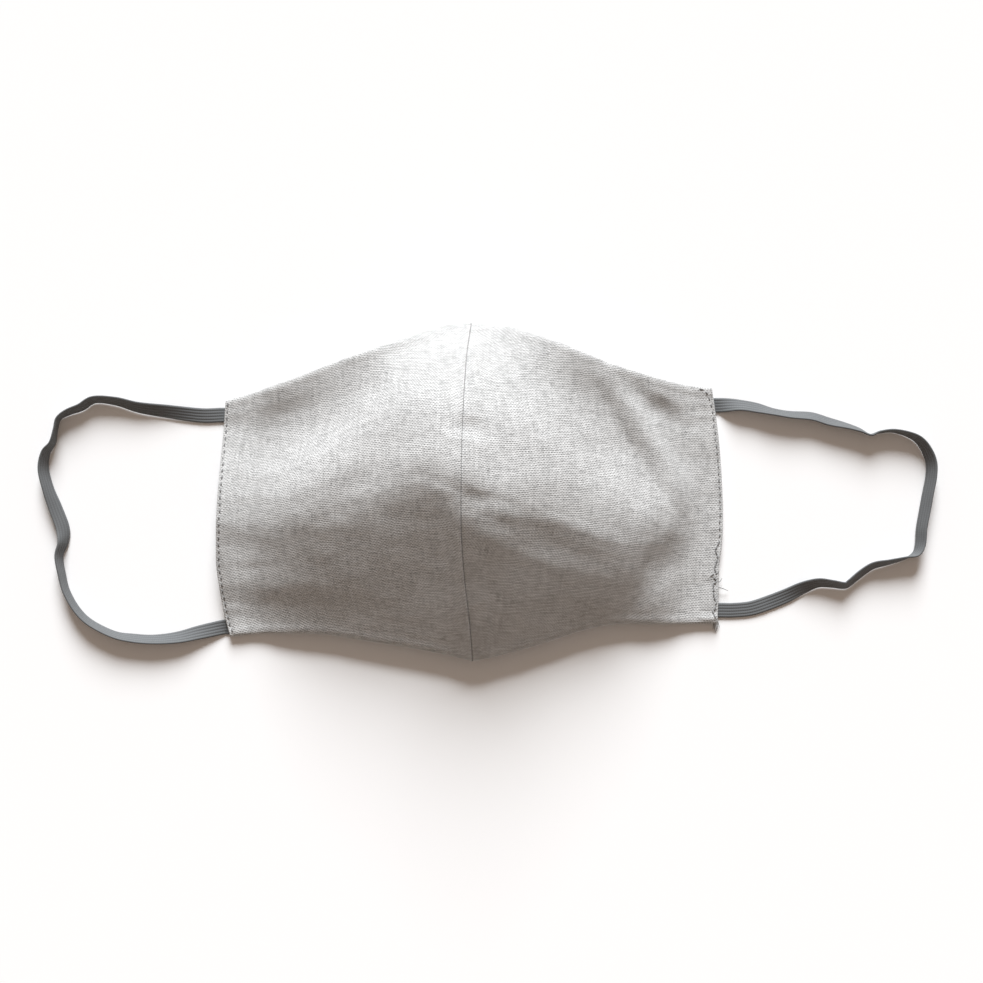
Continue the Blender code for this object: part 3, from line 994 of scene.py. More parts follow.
@dataclass(frozen=True)
class RibbedKnit:
    """The knitted elastic: ribs along the band, crossed by slanting stitches."""

    name: str = "ribbed_knit"
    stitch_relief: float = 0.16
    roundness: float = 0.6  # power of a rib's height across it, 1 for a plain sine
    wear: Tone = Tone(160.0, 3.7, 1.0)

    def group(self) -> bpy.types.NodeTree:
        """Make the node group.

        Returns:
            A group that puts out the height of the knit and the wear of its ribs.
        """
        inputs = [("Place", "Vector"), ("Ribs", "Float"), ("Stitch", "Float")]
        group, book, given, result = new_group(self.name, inputs, ["Height", "Wear"])
        across, along, _ = book.split(given["Place"])
        rib_way = book.math("MULTIPLY", across, given["Ribs"])
        rib = book.math("ABSOLUTE", book.math("SINE", book.math("MULTIPLY", rib_way, math.pi)))
        slant = book.math("ABSOLUTE", book.math("SUBTRACT", book.math("FRACT", rib_way), 0.5))
        stitch_way = book.math("ADD", book.math("DIVIDE", along, given["Stitch"]), slant)
        stitch = book.math("SINE", book.math("MULTIPLY", stitch_way, 2 * math.pi))
        knit = book.math("MULTIPLY_ADD", stitch, self.stitch_relief, 1 - self.stitch_relief)
        strand_x = book.math("MULTIPLY", book.math("FLOOR", rib_way), self.wear.across)
        strand = book.place(strand_x, book.math("MULTIPLY", along, self.wear.along))
        book.put(result["Height"], book.math("MULTIPLY", book.math("POWER", rib, self.roundness), knit))
        book.put(result["Wear"], book.noise(strand, 1.0, 3.0))
        return group


@dataclass(frozen=True)
class ClothFinish:
    """Grey plain-woven cotton, matt and slightly hairy, with painted shade in the gaps between threads and
    under the weft floats.
    """

    name: str = "woven_cotton"
    thread: Colour = (0.700, 0.700, 0.692)
    # Painted shade: the near-black colour mixed in where a thread's height falls away, down its sides and in
    # the gaps
    gap: Colour = (0.030, 0.030, 0.029)
    warp_pitch: float = 0.00062
    weft_pitch: float = 0.00071
    wander: float = 0.0014
    relief: float = 0.00012
    least_cover: float = 0.235  # share of the thread's colour in the gaps between threads, which are painted shade
    height_cover: float = 1.04  # what a thread's height adds to it, so that the painted shade deepens down each thread's sides
    float_shadow_cover: Range = (-1.60, -1.20)  # what the painted shadow under a weft float takes from it
    tone_range: Range = (-0.10, 2.04)
    cloud_scale: float = 45.0
    cloud_range: Range = (0.93, 1.06)
    roughness: Range = (0.80, 0.98)
    fuzz_height: float = 0.25
    specular: float = 0.2
    sheen: float = 0.12
    sheen_roughness: float = 0.6

    def material(self, weave: bpy.types.NodeTree) -> bpy.types.Material:
        """Make the finish.

        Args:
            weave: The plain weave group.

        Returns:
            The new material.
        """
        material, book, shader = new_finish(self.name)
        flat = book.add("ShaderNodeUVMap").outputs["UV"]
        pitches = {"Warp_Pitch": self.warp_pitch, "Weft_Pitch": self.weft_pitch}
        threads = book.use(weave, Place=flat, Wander=self.wander, **pitches).outputs
        # Painted shade: the colour darkens down each thread's sides into the gaps between threads
        cover = book.math("MULTIPLY_ADD", threads["Height"], self.height_cover, self.least_cover)
        # Painted shadow under each weft float, of a depth that varies with the fuzz
        depth = book.spread(threads["Fuzz"], self.float_shadow_cover)
        cover = book.math("MULTIPLY_ADD", threads["Float Shadow"], depth, cover)
        tone = book.spread(threads["Tone"], self.tone_range)
        cloudy = book.spread(book.noise(flat, self.cloud_scale, 3.0), self.cloud_range)
        share = book.math("MULTIPLY", book.math("MULTIPLY", cover, tone), cloudy)
        book.fill(
            shader,
            Base_Color=book.tint(share, self.gap, self.thread),
            Roughness=book.spread(threads["Fuzz"], self.roughness),
            Specular_IOR_Level=self.specular,
            Sheen_Weight=self.sheen,
            Sheen_Roughness=self.sheen_roughness,
        )
        fuzz = book.math("MULTIPLY", threads["Fuzz"], self.fuzz_height)
        book.relief(shader, book.math("ADD", threads["Height"], fuzz), self.relief)
        return material


@dataclass(frozen=True)
class ElasticFinish:
    """Dark grey knitted elastic, with painted shade in the grooves between its ribs."""

    name: str = "knitted_elastic"
    rib: Colour = (0.146, 0.153, 0.157)
    # Painted shade: the darker colour that the grooves between ribs take
    groove: Colour = (0.092, 0.096, 0.099)
    ribs: float = 5.0
    stitch: float = 0.00095
    relief: float = 0.00012
    wear_range: Range = (0.70, 1.30)
    roughness: Range = (0.62, 0.85)
    specular: float = 0.35
    sheen: float = 0.10

    def material(self, knit: bpy.types.NodeTree) -> bpy.types.Material:
        """Make the finish.

        Args:
            knit: The ribbed knit group.

        Returns:
            The new material.
        """
        material, book, shader = new_finish(self.name)
        flat = book.add("ShaderNodeUVMap").outputs["UV"]
        band = book.use(knit, Place=flat, Ribs=self.ribs, Stitch=self.stitch).outputs
        # Painted shade: the colour darkens where the knit's height falls, into the grooves between ribs
        share = book.math("MULTIPLY", band["Height"], book.spread(band["Wear"], self.wear_range))
        book.fill(
            shader,
            Base_Color=book.tint(share, self.groove, self.rib),
            Roughness=book.spread(band["Wear"], self.roughness),
            Specular_IOR_Level=self.specular,
            Sheen_Weight=self.sheen,
        )
        book.relief(shader, band["Height"], self.relief)
        return material


@dataclass(frozen=True)
class ThreadFinish:
    """Twisted sewing thread or loose yarn."""

    name: str
    dark: Colour
    light: Colour
    ply: float = 3200.0
    relief: float = 0.00008
    relief_strength: float = 0.8
    roughness: Range = (0.70, 0.95)
    specular: float = 0.25

    def material(self) -> bpy.types.Material:
        """Make the finish, whose twist is noise on the object's own coordinates.

        Returns:
            The new material.
        """
        material, book, shader = new_finish(self.name)
        twist = book.noise(book.add("ShaderNodeTexCoord").outputs["Object"], self.ply, 2.0)
        book.fill(
            shader,
            Base_Color=book.tint(twist, self.dark, self.light),
            Roughness=book.spread(twist, self.roughness),
            Specular_IOR_Level=self.specular,
        )
        book.relief(shader, twist, self.relief, self.relief_strength)
        return material


SEWING_THREAD = ThreadFinish("sewing_thread", dark=(0.13, 0.13, 0.13), light=(0.32, 0.32, 0.32))
LOOSE_YARN = ThreadFinish("loose_yarn", dark=(0.17, 0.17, 0.17), light=(0.36, 0.36, 0.35))


@dataclass(frozen=True)
class Finishes:
    """The materials of the whole mask, each made once."""

    cloth: bpy.types.Material
    elastic: bpy.types.Material
    sewing_thread: bpy.types.Material
    loose_yarn: bpy.types.Material

    @classmethod
    def make(cls) -> "Finishes":
        """Make every material.

        Returns:
            The materials.
        """
        return cls(
            cloth=ClothFinish().material(PlainWeave().group()),
            elastic=ElasticFinish().material(RibbedKnit().group()),
            sewing_thread=SEWING_THREAD.material(),
            loose_yarn=LOOSE_YARN.material(),
        )


@dataclass(frozen=True)
class ClothSizes:
    """The mask's driving sizes, of which the outer three come from the frame."""

    half_width: float
    nose_reach: float
    chin_reach: float
    dome_height: float = 0.0455
    nose_lift: float = 0.0095
    chin_lift: float = 0.0075
    wall: float = 0.0015
    hem_width: float = 0.0080
    hem_cloth: float = 0.0009
    gap: float = 0.0003
    fold_width: float = 0.0130
    fold_depth: float = 0.0030
    fold_fade: float = 6.0
    crease_width: float = 0.0024
    crease_depth: float = 0.00055
    elastic_width: float = 0.0062
    elastic_thickness: float = 0.0009
    elastic_seat: float = 0.0066
    exit_run: float = 0.0020

    @classmethod
    def from_frame(cls) -> "ClothSizes":
        """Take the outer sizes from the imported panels."""
        left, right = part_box("left_panel"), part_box("right_panel")
        return cls(half_width=right[1].x, nose_reach=left[1].y, chin_reach=-left[0].y)

    @property
    def flat_level(self) -> float:
        """Height of a panel's outer face where it lies flat over the hem and the elastic."""
        return max(self.hem_cloth, self.elastic_thickness) + self.gap + self.wall


@dataclass(frozen=True)
class Spots:
    """Places on a panel, in plan, with their distances from its four edges."""

    x: Array
    y: Array
    up: Array
    from_side: Array
    from_seam: Array
    from_nose: Array
    from_chin: Array


@dataclass(frozen=True)
class PanelSurface:
    """The outer face of one panel, before its small relief."""

    sizes: ClothSizes
    half: Half
    seam_gap: float = 0.00004
    fold_steps: int = 61
    fold_end: float = 1 / 12  # share of a half turn at which a fold's fade starts, above 0 so that it shows

    def signed_reach(self, share: float) -> float:
        """The distance along Y of a signed share: above 0 towards the nose, below 0 towards the chin."""
        return share * (self.sizes.nose_reach if share > 0 else self.sizes.chin_reach)

    def corners_y(self) -> tuple[float, float]:
        """Y of the panel's chin corner and of its nose corner."""
        low = -self.half.chin_edge[-1].along * self.sizes.chin_reach
        return low, self.half.nose_edge[-1].along * self.sizes.nose_reach

    def corner(self) -> Vector:
        """The panel's chin corner, on the table."""
        return Vector((self.half.side.value * float(self.side_x(0.0)), self.corners_y()[0], 0.0))

    def side_share(self, y: Array) -> Array:
        """The share of the way up the side edge at a height Y."""
        low, high = self.corners_y()
        return (y - low) / (high - low)

    def side_x(self, up: Array) -> Array:
        """Distance of the side edge from the middle line, a share of the way up."""
        return profile(self.half.side_edge, up) * self.sizes.half_width

    def side_place(self, y: Array, inset: float | Array = 0.0) -> Array:
        """X at a height Y of the side edge, moved in towards the middle by inset."""
        return self.half.side.value * (self.side_x(self.side_share(y)) - inset)

    def side_height(self, y: Array) -> Array:
        """How far the side edge arches up off the table at a height Y."""
        return profile(SIDE_ARCH, self.side_share(y)) * self.half.side_arch

    def folded(self, x: Array, y: Array, folds: Sequence[Fold], width: float, depth: float) -> Array:
        """How far a table of folds lifts or sinks the cloth.

        Args:
            x: X of each place.
            y: Y of each place.
            folds: The table.
            width: The width that the table's widths are shares of.
            depth: The depth that the table's depths are shares of.

        Returns:
            The height of the folds at each place.
        """
        ways = np.linspace(0.0, 1.0, self.fold_steps)
        height = np.zeros(np.shape(x))
        for fold in folds:
            ends = [(fold.start_x, fold.start_y), (fold.bend_x, fold.bend_y), (fold.end_x, fold.end_y)]
            start, bend, end = (
                np.array((across * self.sizes.half_width, self.signed_reach(along))) for across, along in ends
            )
            line = blend(
                blend(start, bend, ways[:, None]),
                blend(bend, end, ways[:, None]),
                ways[:, None],
            )
            near = np.hypot(x[..., None] - line[:, 0], y[..., None] - line[:, 1])
            away = near.min(axis=-1) / (fold.width * width)
            turn = math.pi * blend(self.fold_end, 1 - self.fold_end, ways[near.argmin(axis=-1)])
            fade = np.sin(turn) ** 0.5
            height += np.where(away < 1, fold.depth * depth * (1 - away**2) ** 2 * fade, 0.0)
        return height

    def arch_way(self, x: Array, up: Array) -> Array:
        """Places on an arch's table, with the belt drawn to where it lies on the cloth.

        Args:
            x: X of each point of the cloth.
            up: Its share of the way from the chin edge up to the nose edge.

        Returns:
            The place of each point on the table.
        """
        belt = profile(BELT, x / self.sizes.half_width)
        below = BELT_WAY * up / belt
        above = blend(BELT_WAY, 1.0, (up - belt) / (1 - belt))
        return np.where(up < belt, below, above)

    def outer(self, rise: Array, up: Array) -> tuple[Array, Spots]:
        """Points of the panel's outer face.

        Args:
            rise: -1 at the side edge, 0 at the hem's inner edge and 1 at the seam.
            up: 0 at the chin edge and 1 at the nose edge.

        Returns:
            The points, with X, Y and Z on the last axis, and their places on the panel.
        """
        sizes, side = self.sizes, self.half.side.value
        seam = profile(SEAM, up) * sizes.half_width + side * self.seam_gap / 2
        edge = side * self.side_x(up)
        width = np.abs(edge - seam)
        hem_share = sizes.hem_width / width
        share = np.where(rise < 0, hem_share * (1 + rise), blend(hem_share, 1.0, rise))
        x = blend(edge, seam, share)
        chin = -profile(self.half.chin_edge, 1 - share) * sizes.chin_reach
        nose = profile(self.half.nose_edge, 1 - share) * sizes.nose_reach
        y = blend(chin, nose, up)
        level = sizes.flat_level + self.side_height(y)
        lift = blend(sizes.chin_lift, sizes.nose_lift, up)
        inward = np.clip(rise, 0.0, 1.0)
        dome = profile(DOME_RISE, inward)
        level = blend(level, sizes.flat_level, dome)
        edges = (lift - sizes.flat_level) * profile(EDGE_RISE, inward)
        way = self.arch_way(x, up)
        turned = ease((inward - FLANK_END) / FLANK_TURN)
        arch = blend(profile(FLANK_ARCH, way), profile(SEAM_ARCH, way), turned)
        crown = (sizes.dome_height - lift) * arch * dome
        folds = self.folded(x, y, FOLDS, sizes.fold_width, sizes.fold_depth) * ease(inward * sizes.fold_fade)
        spots = Spots(
            x=x,
            y=y,
            up=up,
            from_side=share * width,
            from_seam=(1 - share) * width,
            from_nose=(1 - up) * (nose - chin),
            from_chin=up * (nose - chin),
        )
        return np.stack([x, y, level + edges + crown + folds], axis=-1), spots


@dataclass(frozen=True)
class PanelFace:
    """A panel's finished outer face, on which sewing threads are laid."""

    insets: Array  # distance of each column from the side edge, over the hem
    ups: Array
    points: Array
    out: Array

    def at(self, inset: Array, up: Array) -> tuple[Array, Array]:
        """Read the face over the hem.

        Args:
            inset: Distance of each place from the side edge.
            up: Its share of the way from the chin edge up to the nose edge.

        Returns:
            The point of the face and the direction out of it, for each place.
        """
        column = np.interp(inset, self.insets, np.arange(len(self.insets)))
        row = np.interp(up, self.ups, np.arange(len(self.ups)))
        left = np.clip(column.astype(int), 0, len(self.insets) - 2)
        low = np.clip(row.astype(int), 0, len(self.ups) - 2)
        across, along = (column - left)[:, None], (row - low)[:, None]
        point, out = (
            blend(
                blend(grid[low, left], grid[low, left + 1], across),
                blend(grid[low + 1, left], grid[low + 1, left + 1], across),
                along,
            )
            for grid in (self.points, self.out)
        )
        return point, out / np.linalg.norm(out, axis=-1, keepdims=True)


@dataclass(frozen=True)
class SewnRelief:
    """What sewing and pressing leave in a panel's outer face."""

    stitch_inset: float = 0.0013
    stitch_pitch: float = 0.00285
    groove_width: float = 0.00045
    groove_depths: Range = (0.00014, 0.00026)  # its least and its most, which take turns once a stitch
    margin: Ridge = Ridge(0.0005, 0.0005, 0.00014)
    rim: Ridge = Ridge(0.0022, 0.0016, 0.00022)  # along the nose edge and the chin edge
    ledge: float = 0.00016  # over the hem
    ledge_run: Ramp = Ramp(-0.0006, 0.0012)  # from the hem's inner edge
    seam_roll: Ridge = Ridge(0.0, 0.0010, 0.00028)  # of the left panel
    roll_shares: Range = (1.5, 0.5)  # at the chin and at the nose
    roll_run: Ramp = Ramp(0.3, 0.4)  # on the way up
    seam_dip: Ridge = Ridge(0.0, 0.0014, -0.00034)  # of the right panel
    allowance: float = 0.00030  # height of the cloth over the turned seam allowance
    allowance_run: Ramp = Ramp(0.0070, 0.0028)  # from the seam
    allowance_shares: Range = (1.0, 0.35)  # at the chin and at the nose
    upper_run: Ramp = Ramp(0.35, 0.3)  # on the way up

    def height(self, spots: Spots, side: Side, hem_width: float) -> Array:
        """How far the outer face stands over plain cloth.

        Args:
            spots: The places on the panel.
            side: The panel's side.
            hem_width: The width of its hem.

        Returns:
            The height at each place.
        """
        pulled = 0.5 + 0.5 * np.cos(2 * math.pi * spots.y / self.stitch_pitch)
        groove = bump(spots.from_side - self.stitch_inset, self.groove_width)
        groove = groove * blend(*self.groove_depths, pulled)
        ledge = self.ledge * (1 - self.ledge_run.at(spots.from_side - hem_width))
        if side is Side.LEFT:
            seam = self.seam_roll.at(spots.from_seam) * blend(*self.roll_shares, self.roll_run.at(spots.up))
        else:
            seam = self.seam_dip.at(spots.from_seam)
        pressed = 1 - self.allowance_run.at(spots.from_seam)
        pressed = self.allowance * blend(*self.allowance_shares, self.upper_run.at(spots.up)) * pressed
        rim = self.rim.at(np.minimum(spots.from_nose, spots.from_chin))
        return self.margin.at(spots.from_side) - groove + ledge + seam + pressed + rim


@dataclass
class ClothPanel:
    """One cloth panel: a closed wall with rounded turned edges, sewn relief and fine wrinkles."""

    surface: PanelSurface
    flat_width: float
    flat_height: float
    flat_area: float
    relief: SewnRelief = SewnRelief()
    side_round: float = 0.0007
    seam_round: float = 0.00034
    edge_round: float = 0.0009
    upright: float = 0.0030
    hem_waves: float = 0.45  # share of the waves that the sewn hem leaves
    free_run: Ramp = Ramp(0.001, 0.012)  # from the side edge to where the cloth is free
    tug_run: Ridge = Ridge(0.004, 0.007, 1.0)
    near_side: tuple[float, ...] = (0, 0.1, 0.25, 0.4, 0.55, 0.7, 0.85, 1.0, 1.15, 1.3, 1.45, 1.6, 1.8)
    over_hem: tuple[float, ...] = (2.1, 2.6, 3.1, 3.7, 4.2, 4.7, 5.2, 5.7, 6.2, 6.7, 7.2, 7.7)
    near_seam: tuple[float, ...] = (2.3, 1.8, 1.4, 1.05, 0.8, 0.6, 0.4, 0.25, 0.12, 0.04, 0)
    near_rim: tuple[float, ...] = (0, 0.1, 0.3, 0.6, 1.0, 1.5)
    dome_columns: int = 144
    dome_rows: int = 172
    dome_end: float = 0.970  # rise at which the columns near the seam take over
    rim_end: float = 0.016  # share of the way up at which the rows near the rims do
    usual_height: float = 140.0  # of a panel, in millimetres, for the rows near its rims

    @property
    def name(self) -> str:
        """The piece's name."""
        return f"{self.surface.half.side.word}_panel_cloth"

    def columns(self) -> Array:
        """The values of rise, closest together at the stitches, the side edge and the seam.

        Returns:
            The columns over the hem, whose tables are in millimetres, those of the dome, and those near the
            seam, whose table is in hundredths.
        """
        hem = np.array(self.near_side + self.over_hem) / 1000 / self.surface.sizes.hem_width - 1
        seam = 1 - np.array(self.near_seam) / 100
        return np.concatenate([hem, np.linspace(0.0, self.dome_end, self.dome_columns), seam])

    def rows(self) -> Array:
        """The values of up, closest together at the chin edge and the nose edge.

        Returns:
            The rows near the chin edge, those of the dome and those near the nose edge.
        """
        rim = np.array(self.near_rim) / self.usual_height
        dome = np.linspace(self.rim_end, 1 - self.rim_end, self.dome_rows)
        return np.concatenate([rim, dome, 1 - rim[::-1]])

    def wrinkles(self, spots: Spots) -> Array:
        """The small waves, pulls and creases of the whole wall.

        Args:
            spots: The places on the panel.

        Returns:
            The height at each place.
        """
        sizes = self.surface.sizes
        waves = sum(wave.height * ripple(spots.x, spots.y, wave) for wave in WAVES)
        waves = waves * blend(self.hem_waves, 1.0, self.free_run.at(spots.from_side))
        tugs = TUGS.height * (ripple(spots.x, spots.y, TUGS) * self.tug_run.at(spots.from_side))
        creases = self.surface.folded(spots.x, spots.y, CREASES, sizes.crease_width, sizes.crease_depth)
        return waves + tugs + creases

    def wall_way(self, points: Array, spots: Spots) -> Array:
        """The direction out of the wall: square to the cloth, but straight up over the side hem.

        Args:
            points: The grid of points of the outer face.
            spots: Their places on the panel.

        Returns:
            A unit vector for each point.
        """
        normal = np.cross(np.gradient(points, axis=1), np.gradient(points, axis=0))
        normal *= np.sign(normal[..., 2:])
        normal[..., 0] *= ease(spots.from_seam / self.upright)
        normal = normal / np.linalg.norm(normal, axis=-1, keepdims=True)
        leaving = ease((spots.from_side - self.surface.sizes.hem_width) / self.upright)[..., None]
        normal = blend(np.array((0.0, 0.0, 1.0)), normal, leaving)
        return normal / np.linalg.norm(normal, axis=-1, keepdims=True)

    def half_wall(self, spots: Spots) -> Array:
        """Half the wall's thickness, which closes in a round edge all along the outline.

        Args:
            spots: The places on the panel.

        Returns:
            The distance from the wall's middle to its faces at each place.
        """
        edge = np.minimum(spots.from_nose, spots.from_chin) / self.edge_round
        side = np.minimum(spots.from_side / self.side_round, spots.from_seam / self.seam_round)
        inside = np.clip(np.minimum(edge, side), 0.0, 1.0)
        return self.surface.sizes.wall / 2 * np.sqrt(1 - (1 - inside) ** 2)

    def build(self, finishes: Finishes) -> bpy.types.Object:
        """Build the panel and dress it.

        Args:
            finishes: The mask's materials.

        Returns:
            The panel's piece.
        """
        rise, up = np.meshgrid(self.columns(), self.rows())
        points, spots = self.surface.outer(rise, up)
        out = self.wall_way(points, spots)
        half = self.half_wall(spots)
        half_full = self.surface.sizes.wall / 2
        middle = points - out * (half_full - self.wrinkles(spots))[..., None]
        sewn = self.relief.height(spots, self.surface.half.side, self.surface.sizes.hem_width)
        faces_at = {}
        for wall in Wall:
            depth = half + (sewn * (half / half_full) if wall is Wall.OUTER else 0.0)
            faces_at[wall] = middle + out * (wall.value * depth)[..., None]
        flat = self.flat_places(faces_at[Wall.OUTER])
        piece = self.shell(faces_at, flat)
        piece.data.materials.append(finishes.cloth)
        over_hem = self.columns() <= 0
        self.face = PanelFace(
            insets=(self.columns()[over_hem] + 1) * self.surface.sizes.hem_width,
            ups=self.rows(),
            points=faces_at[Wall.OUTER][:, over_hem],
            out=out[:, over_hem],
        )
        return piece

    def flat_places(self, points: Array) -> Array:
        """Where each point lies on the flat cloth.

        Args:
            points: The grid of points of the outer face.

        Returns:
            Two distances for each point, from the side edge and from the middle row.
        """
        along = arc_lengths(points, axis=1)
        up = arc_lengths(points, axis=0)
        up = up - up[np.abs(self.rows() - 0.5).argmin()]
        return np.stack([along * self.surface.half.side.value, up], axis=-1)

    def shell(self, faces_at: dict[Wall, Array], flat: Array) -> bpy.types.Object:
        """Join the outer and inner faces to one closed wall, which share the points of the outline.

        Args:
            faces_at: The grid of points of each face.
            flat: Where each point of the grid lies on the flat cloth.

        Returns:
            The new piece.
        """
        rows, columns = flat.shape[:2]
        outer = np.arange(rows * columns).reshape(rows, columns)
        inner = outer.copy()
        inner[1:-1, 1:-1] = rows * columns + np.arange((rows - 2) * (columns - 2)).reshape(rows - 2, -1)
        faces = []
        for numbers in (outer, inner):
            corners = (numbers[:-1, :-1], numbers[:-1, 1:], numbers[1:, 1:], numbers[1:, :-1])
            faces.append(np.stack([corner.ravel() for corner in corners], axis=-1))
        hidden = faces_at[Wall.INNER][1:-1, 1:-1].reshape(-1, 3)
        points = np.concatenate([faces_at[Wall.OUTER].reshape(-1, 3), hidden])
        places = np.concatenate([flat.reshape(-1, 2), flat[1:-1, 1:-1].reshape(-1, 2)])
        return mesh_piece(self.name, points, np.concatenate(faces), places)

    def place(self, piece: bpy.types.Object, with_pieces: Sequence[bpy.types.Object]) -> None:
        """Say what the panel stands for: the solid that it replaces.

        Args:
            piece: The panel's piece.
            with_pieces: The pieces that are sewn to it; not used.
        """
        word = self.surface.half.side.word
        declare(piece, f"{word}_panel")


@dataclass(frozen=True)
class Stitches:
    """Machine stitches along a row on a panel's face, each a short dark thread that dips at its ends."""

    name: str
    face: PanelFace
    row: Sequence[RowPoint]
    pitch: float = 0.00285
    length: float = 0.0019
    width: float = 0.00066
    height: float = 0.00046
    sway: float = 0.00014
    tilt: float = 0.13
    uneven: Range = (0.78, 1.12)
    dip: float = 0.35  # share of the height by which the ends sink
    stand: float = 0.30  # share of the height by which the middle stands up
    closing: float = 0.03  # share of a half turn that is left open at each end
    seed: int = 7
    rings: int = 9
    around: int = 10
    samples: int = 900
    look_ahead: float = 0.0002

    def centres(self) -> tuple[Array, Array, Array]:
        """Places along the row.

        Returns:
            The middle of each stitch, the direction along the row and the direction out of the cloth.
        """
        steps = np.linspace(0, len(self.row) - 1, self.samples)
        own = np.arange(len(self.row))
        inset = np.interp(steps, own, [point.inset for point in self.row])
        up = np.interp(steps, own, [point.up for point in self.row])
        line, out = self.face.at(inset, up)
        run = arc_lengths(line, axis=0)
        count = int(run[-1] / self.pitch)
        places = (np.arange(count) + 0.5) * run[-1] / count
        middle = read_rows(places, run, line)
        outward = read_rows(places, run, out)
        ahead = read_rows(places + self.look_ahead, run, line) - middle
        ahead = ahead / np.linalg.norm(ahead, axis=-1, keepdims=True)
        return middle, ahead, outward / np.linalg.norm(outward, axis=-1, keepdims=True)

    def build(self, finishes: Finishes) -> bpy.types.Object:
        """Build the stitches as one piece and dress it.

        Args:
            finishes: The mask's materials.

        Returns:
            The stitches' piece.
        """
        middle, ahead, out = self.centres()
        beside = np.cross(out, ahead)
        ends = np.array((1 - self.closing, self.closing)) * math.pi
        way = np.cos(np.linspace(*ends, self.rings))
        turn = np.arange(self.around) * 2 * math.pi / self.around
        thick = np.sqrt(1 - way**2)[:, None]
        wide = thick * np.cos(turn) * self.width / 2
        high = thick * np.sin(turn) * self.height / 2 - (way**2)[:, None] * self.height * self.dip
        points, faces = [], []
        chances = np.random.default_rng(self.seed)
        for number in range(len(middle)):
            tilt = chances.normal(0.0, self.tilt)
            size = chances.uniform(*self.uneven)
            along = ahead[number] * math.cos(tilt) + beside[number] * math.sin(tilt)
            across = np.cross(out[number], along)
            start = middle[number] + beside[number] * chances.normal(0.0, self.sway)
            points.append(
                start
                + along * (way * self.length * size / 2)[:, None, None]
                + across * wide[..., None]
                + out[number] * (high + self.height * self.stand)[..., None]
            )
            faces.append(tube_faces(self.rings, self.around) + number * self.rings * self.around)
        rows = np.concatenate([grid.reshape(-1, 3) for grid in points])
        piece = mesh_piece(self.name, rows, np.concatenate(faces), rows[:, :2])
        piece.data.materials.append(finishes.sewing_thread)
        declare(piece)
        return piece


@dataclass(frozen=True)
class YarnEnds:
    """Loose ends of yarn that hang from the cloth's lower right corner and its side edge."""

    corner: Vector
    rows: Sequence[YarnEnd]
    name: str = "frayed_yarn_ends"
    radius: float = 0.00022
    tip: float = 0.45  # share of the radius at the free end
    steps: int = 14
    around: int = 6

    def build(self, finishes: Finishes) -> bpy.types.Object:
        """Build the ends as one piece and dress it.

        Args:
            finishes: The mask's materials.

        Returns:
            The yarn's piece.
        """
        way = np.linspace(0, 1, self.steps)[:, None]
        turn = np.arange(self.around) * 2 * math.pi / self.around
        points, faces = [], []
        for number, row in enumerate(self.rows):
            start, bend, end = (np.array(place) / 1000 + np.array(self.corner) for place in row)
            line = blend(blend(start, bend, way), blend(bend, end, way), way)
            ahead = np.gradient(line, axis=0)
            beside = np.cross(ahead, (0.0, 0.0, 1.0))
            beside /= np.linalg.norm(beside, axis=-1, keepdims=True)
            over = np.cross(beside, ahead)
            over /= np.linalg.norm(over, axis=-1, keepdims=True)
            round_way = beside[:, None] * np.cos(turn)[:, None] + over[:, None] * np.sin(turn)[:, None]
            thick = self.radius * blend(1.0, self.tip, way[:, None])
            points.append((line[:, None] + round_way * thick).reshape(-1, 3))
            faces.append(tube_faces(self.steps, self.around) + number * self.steps * self.around)
        rows = np.concatenate(points)
        piece = mesh_piece(self.name, rows, np.concatenate(faces), rows[:, :2])
        piece.data.materials.append(finishes.loose_yarn)
        declare(piece)
        return piece


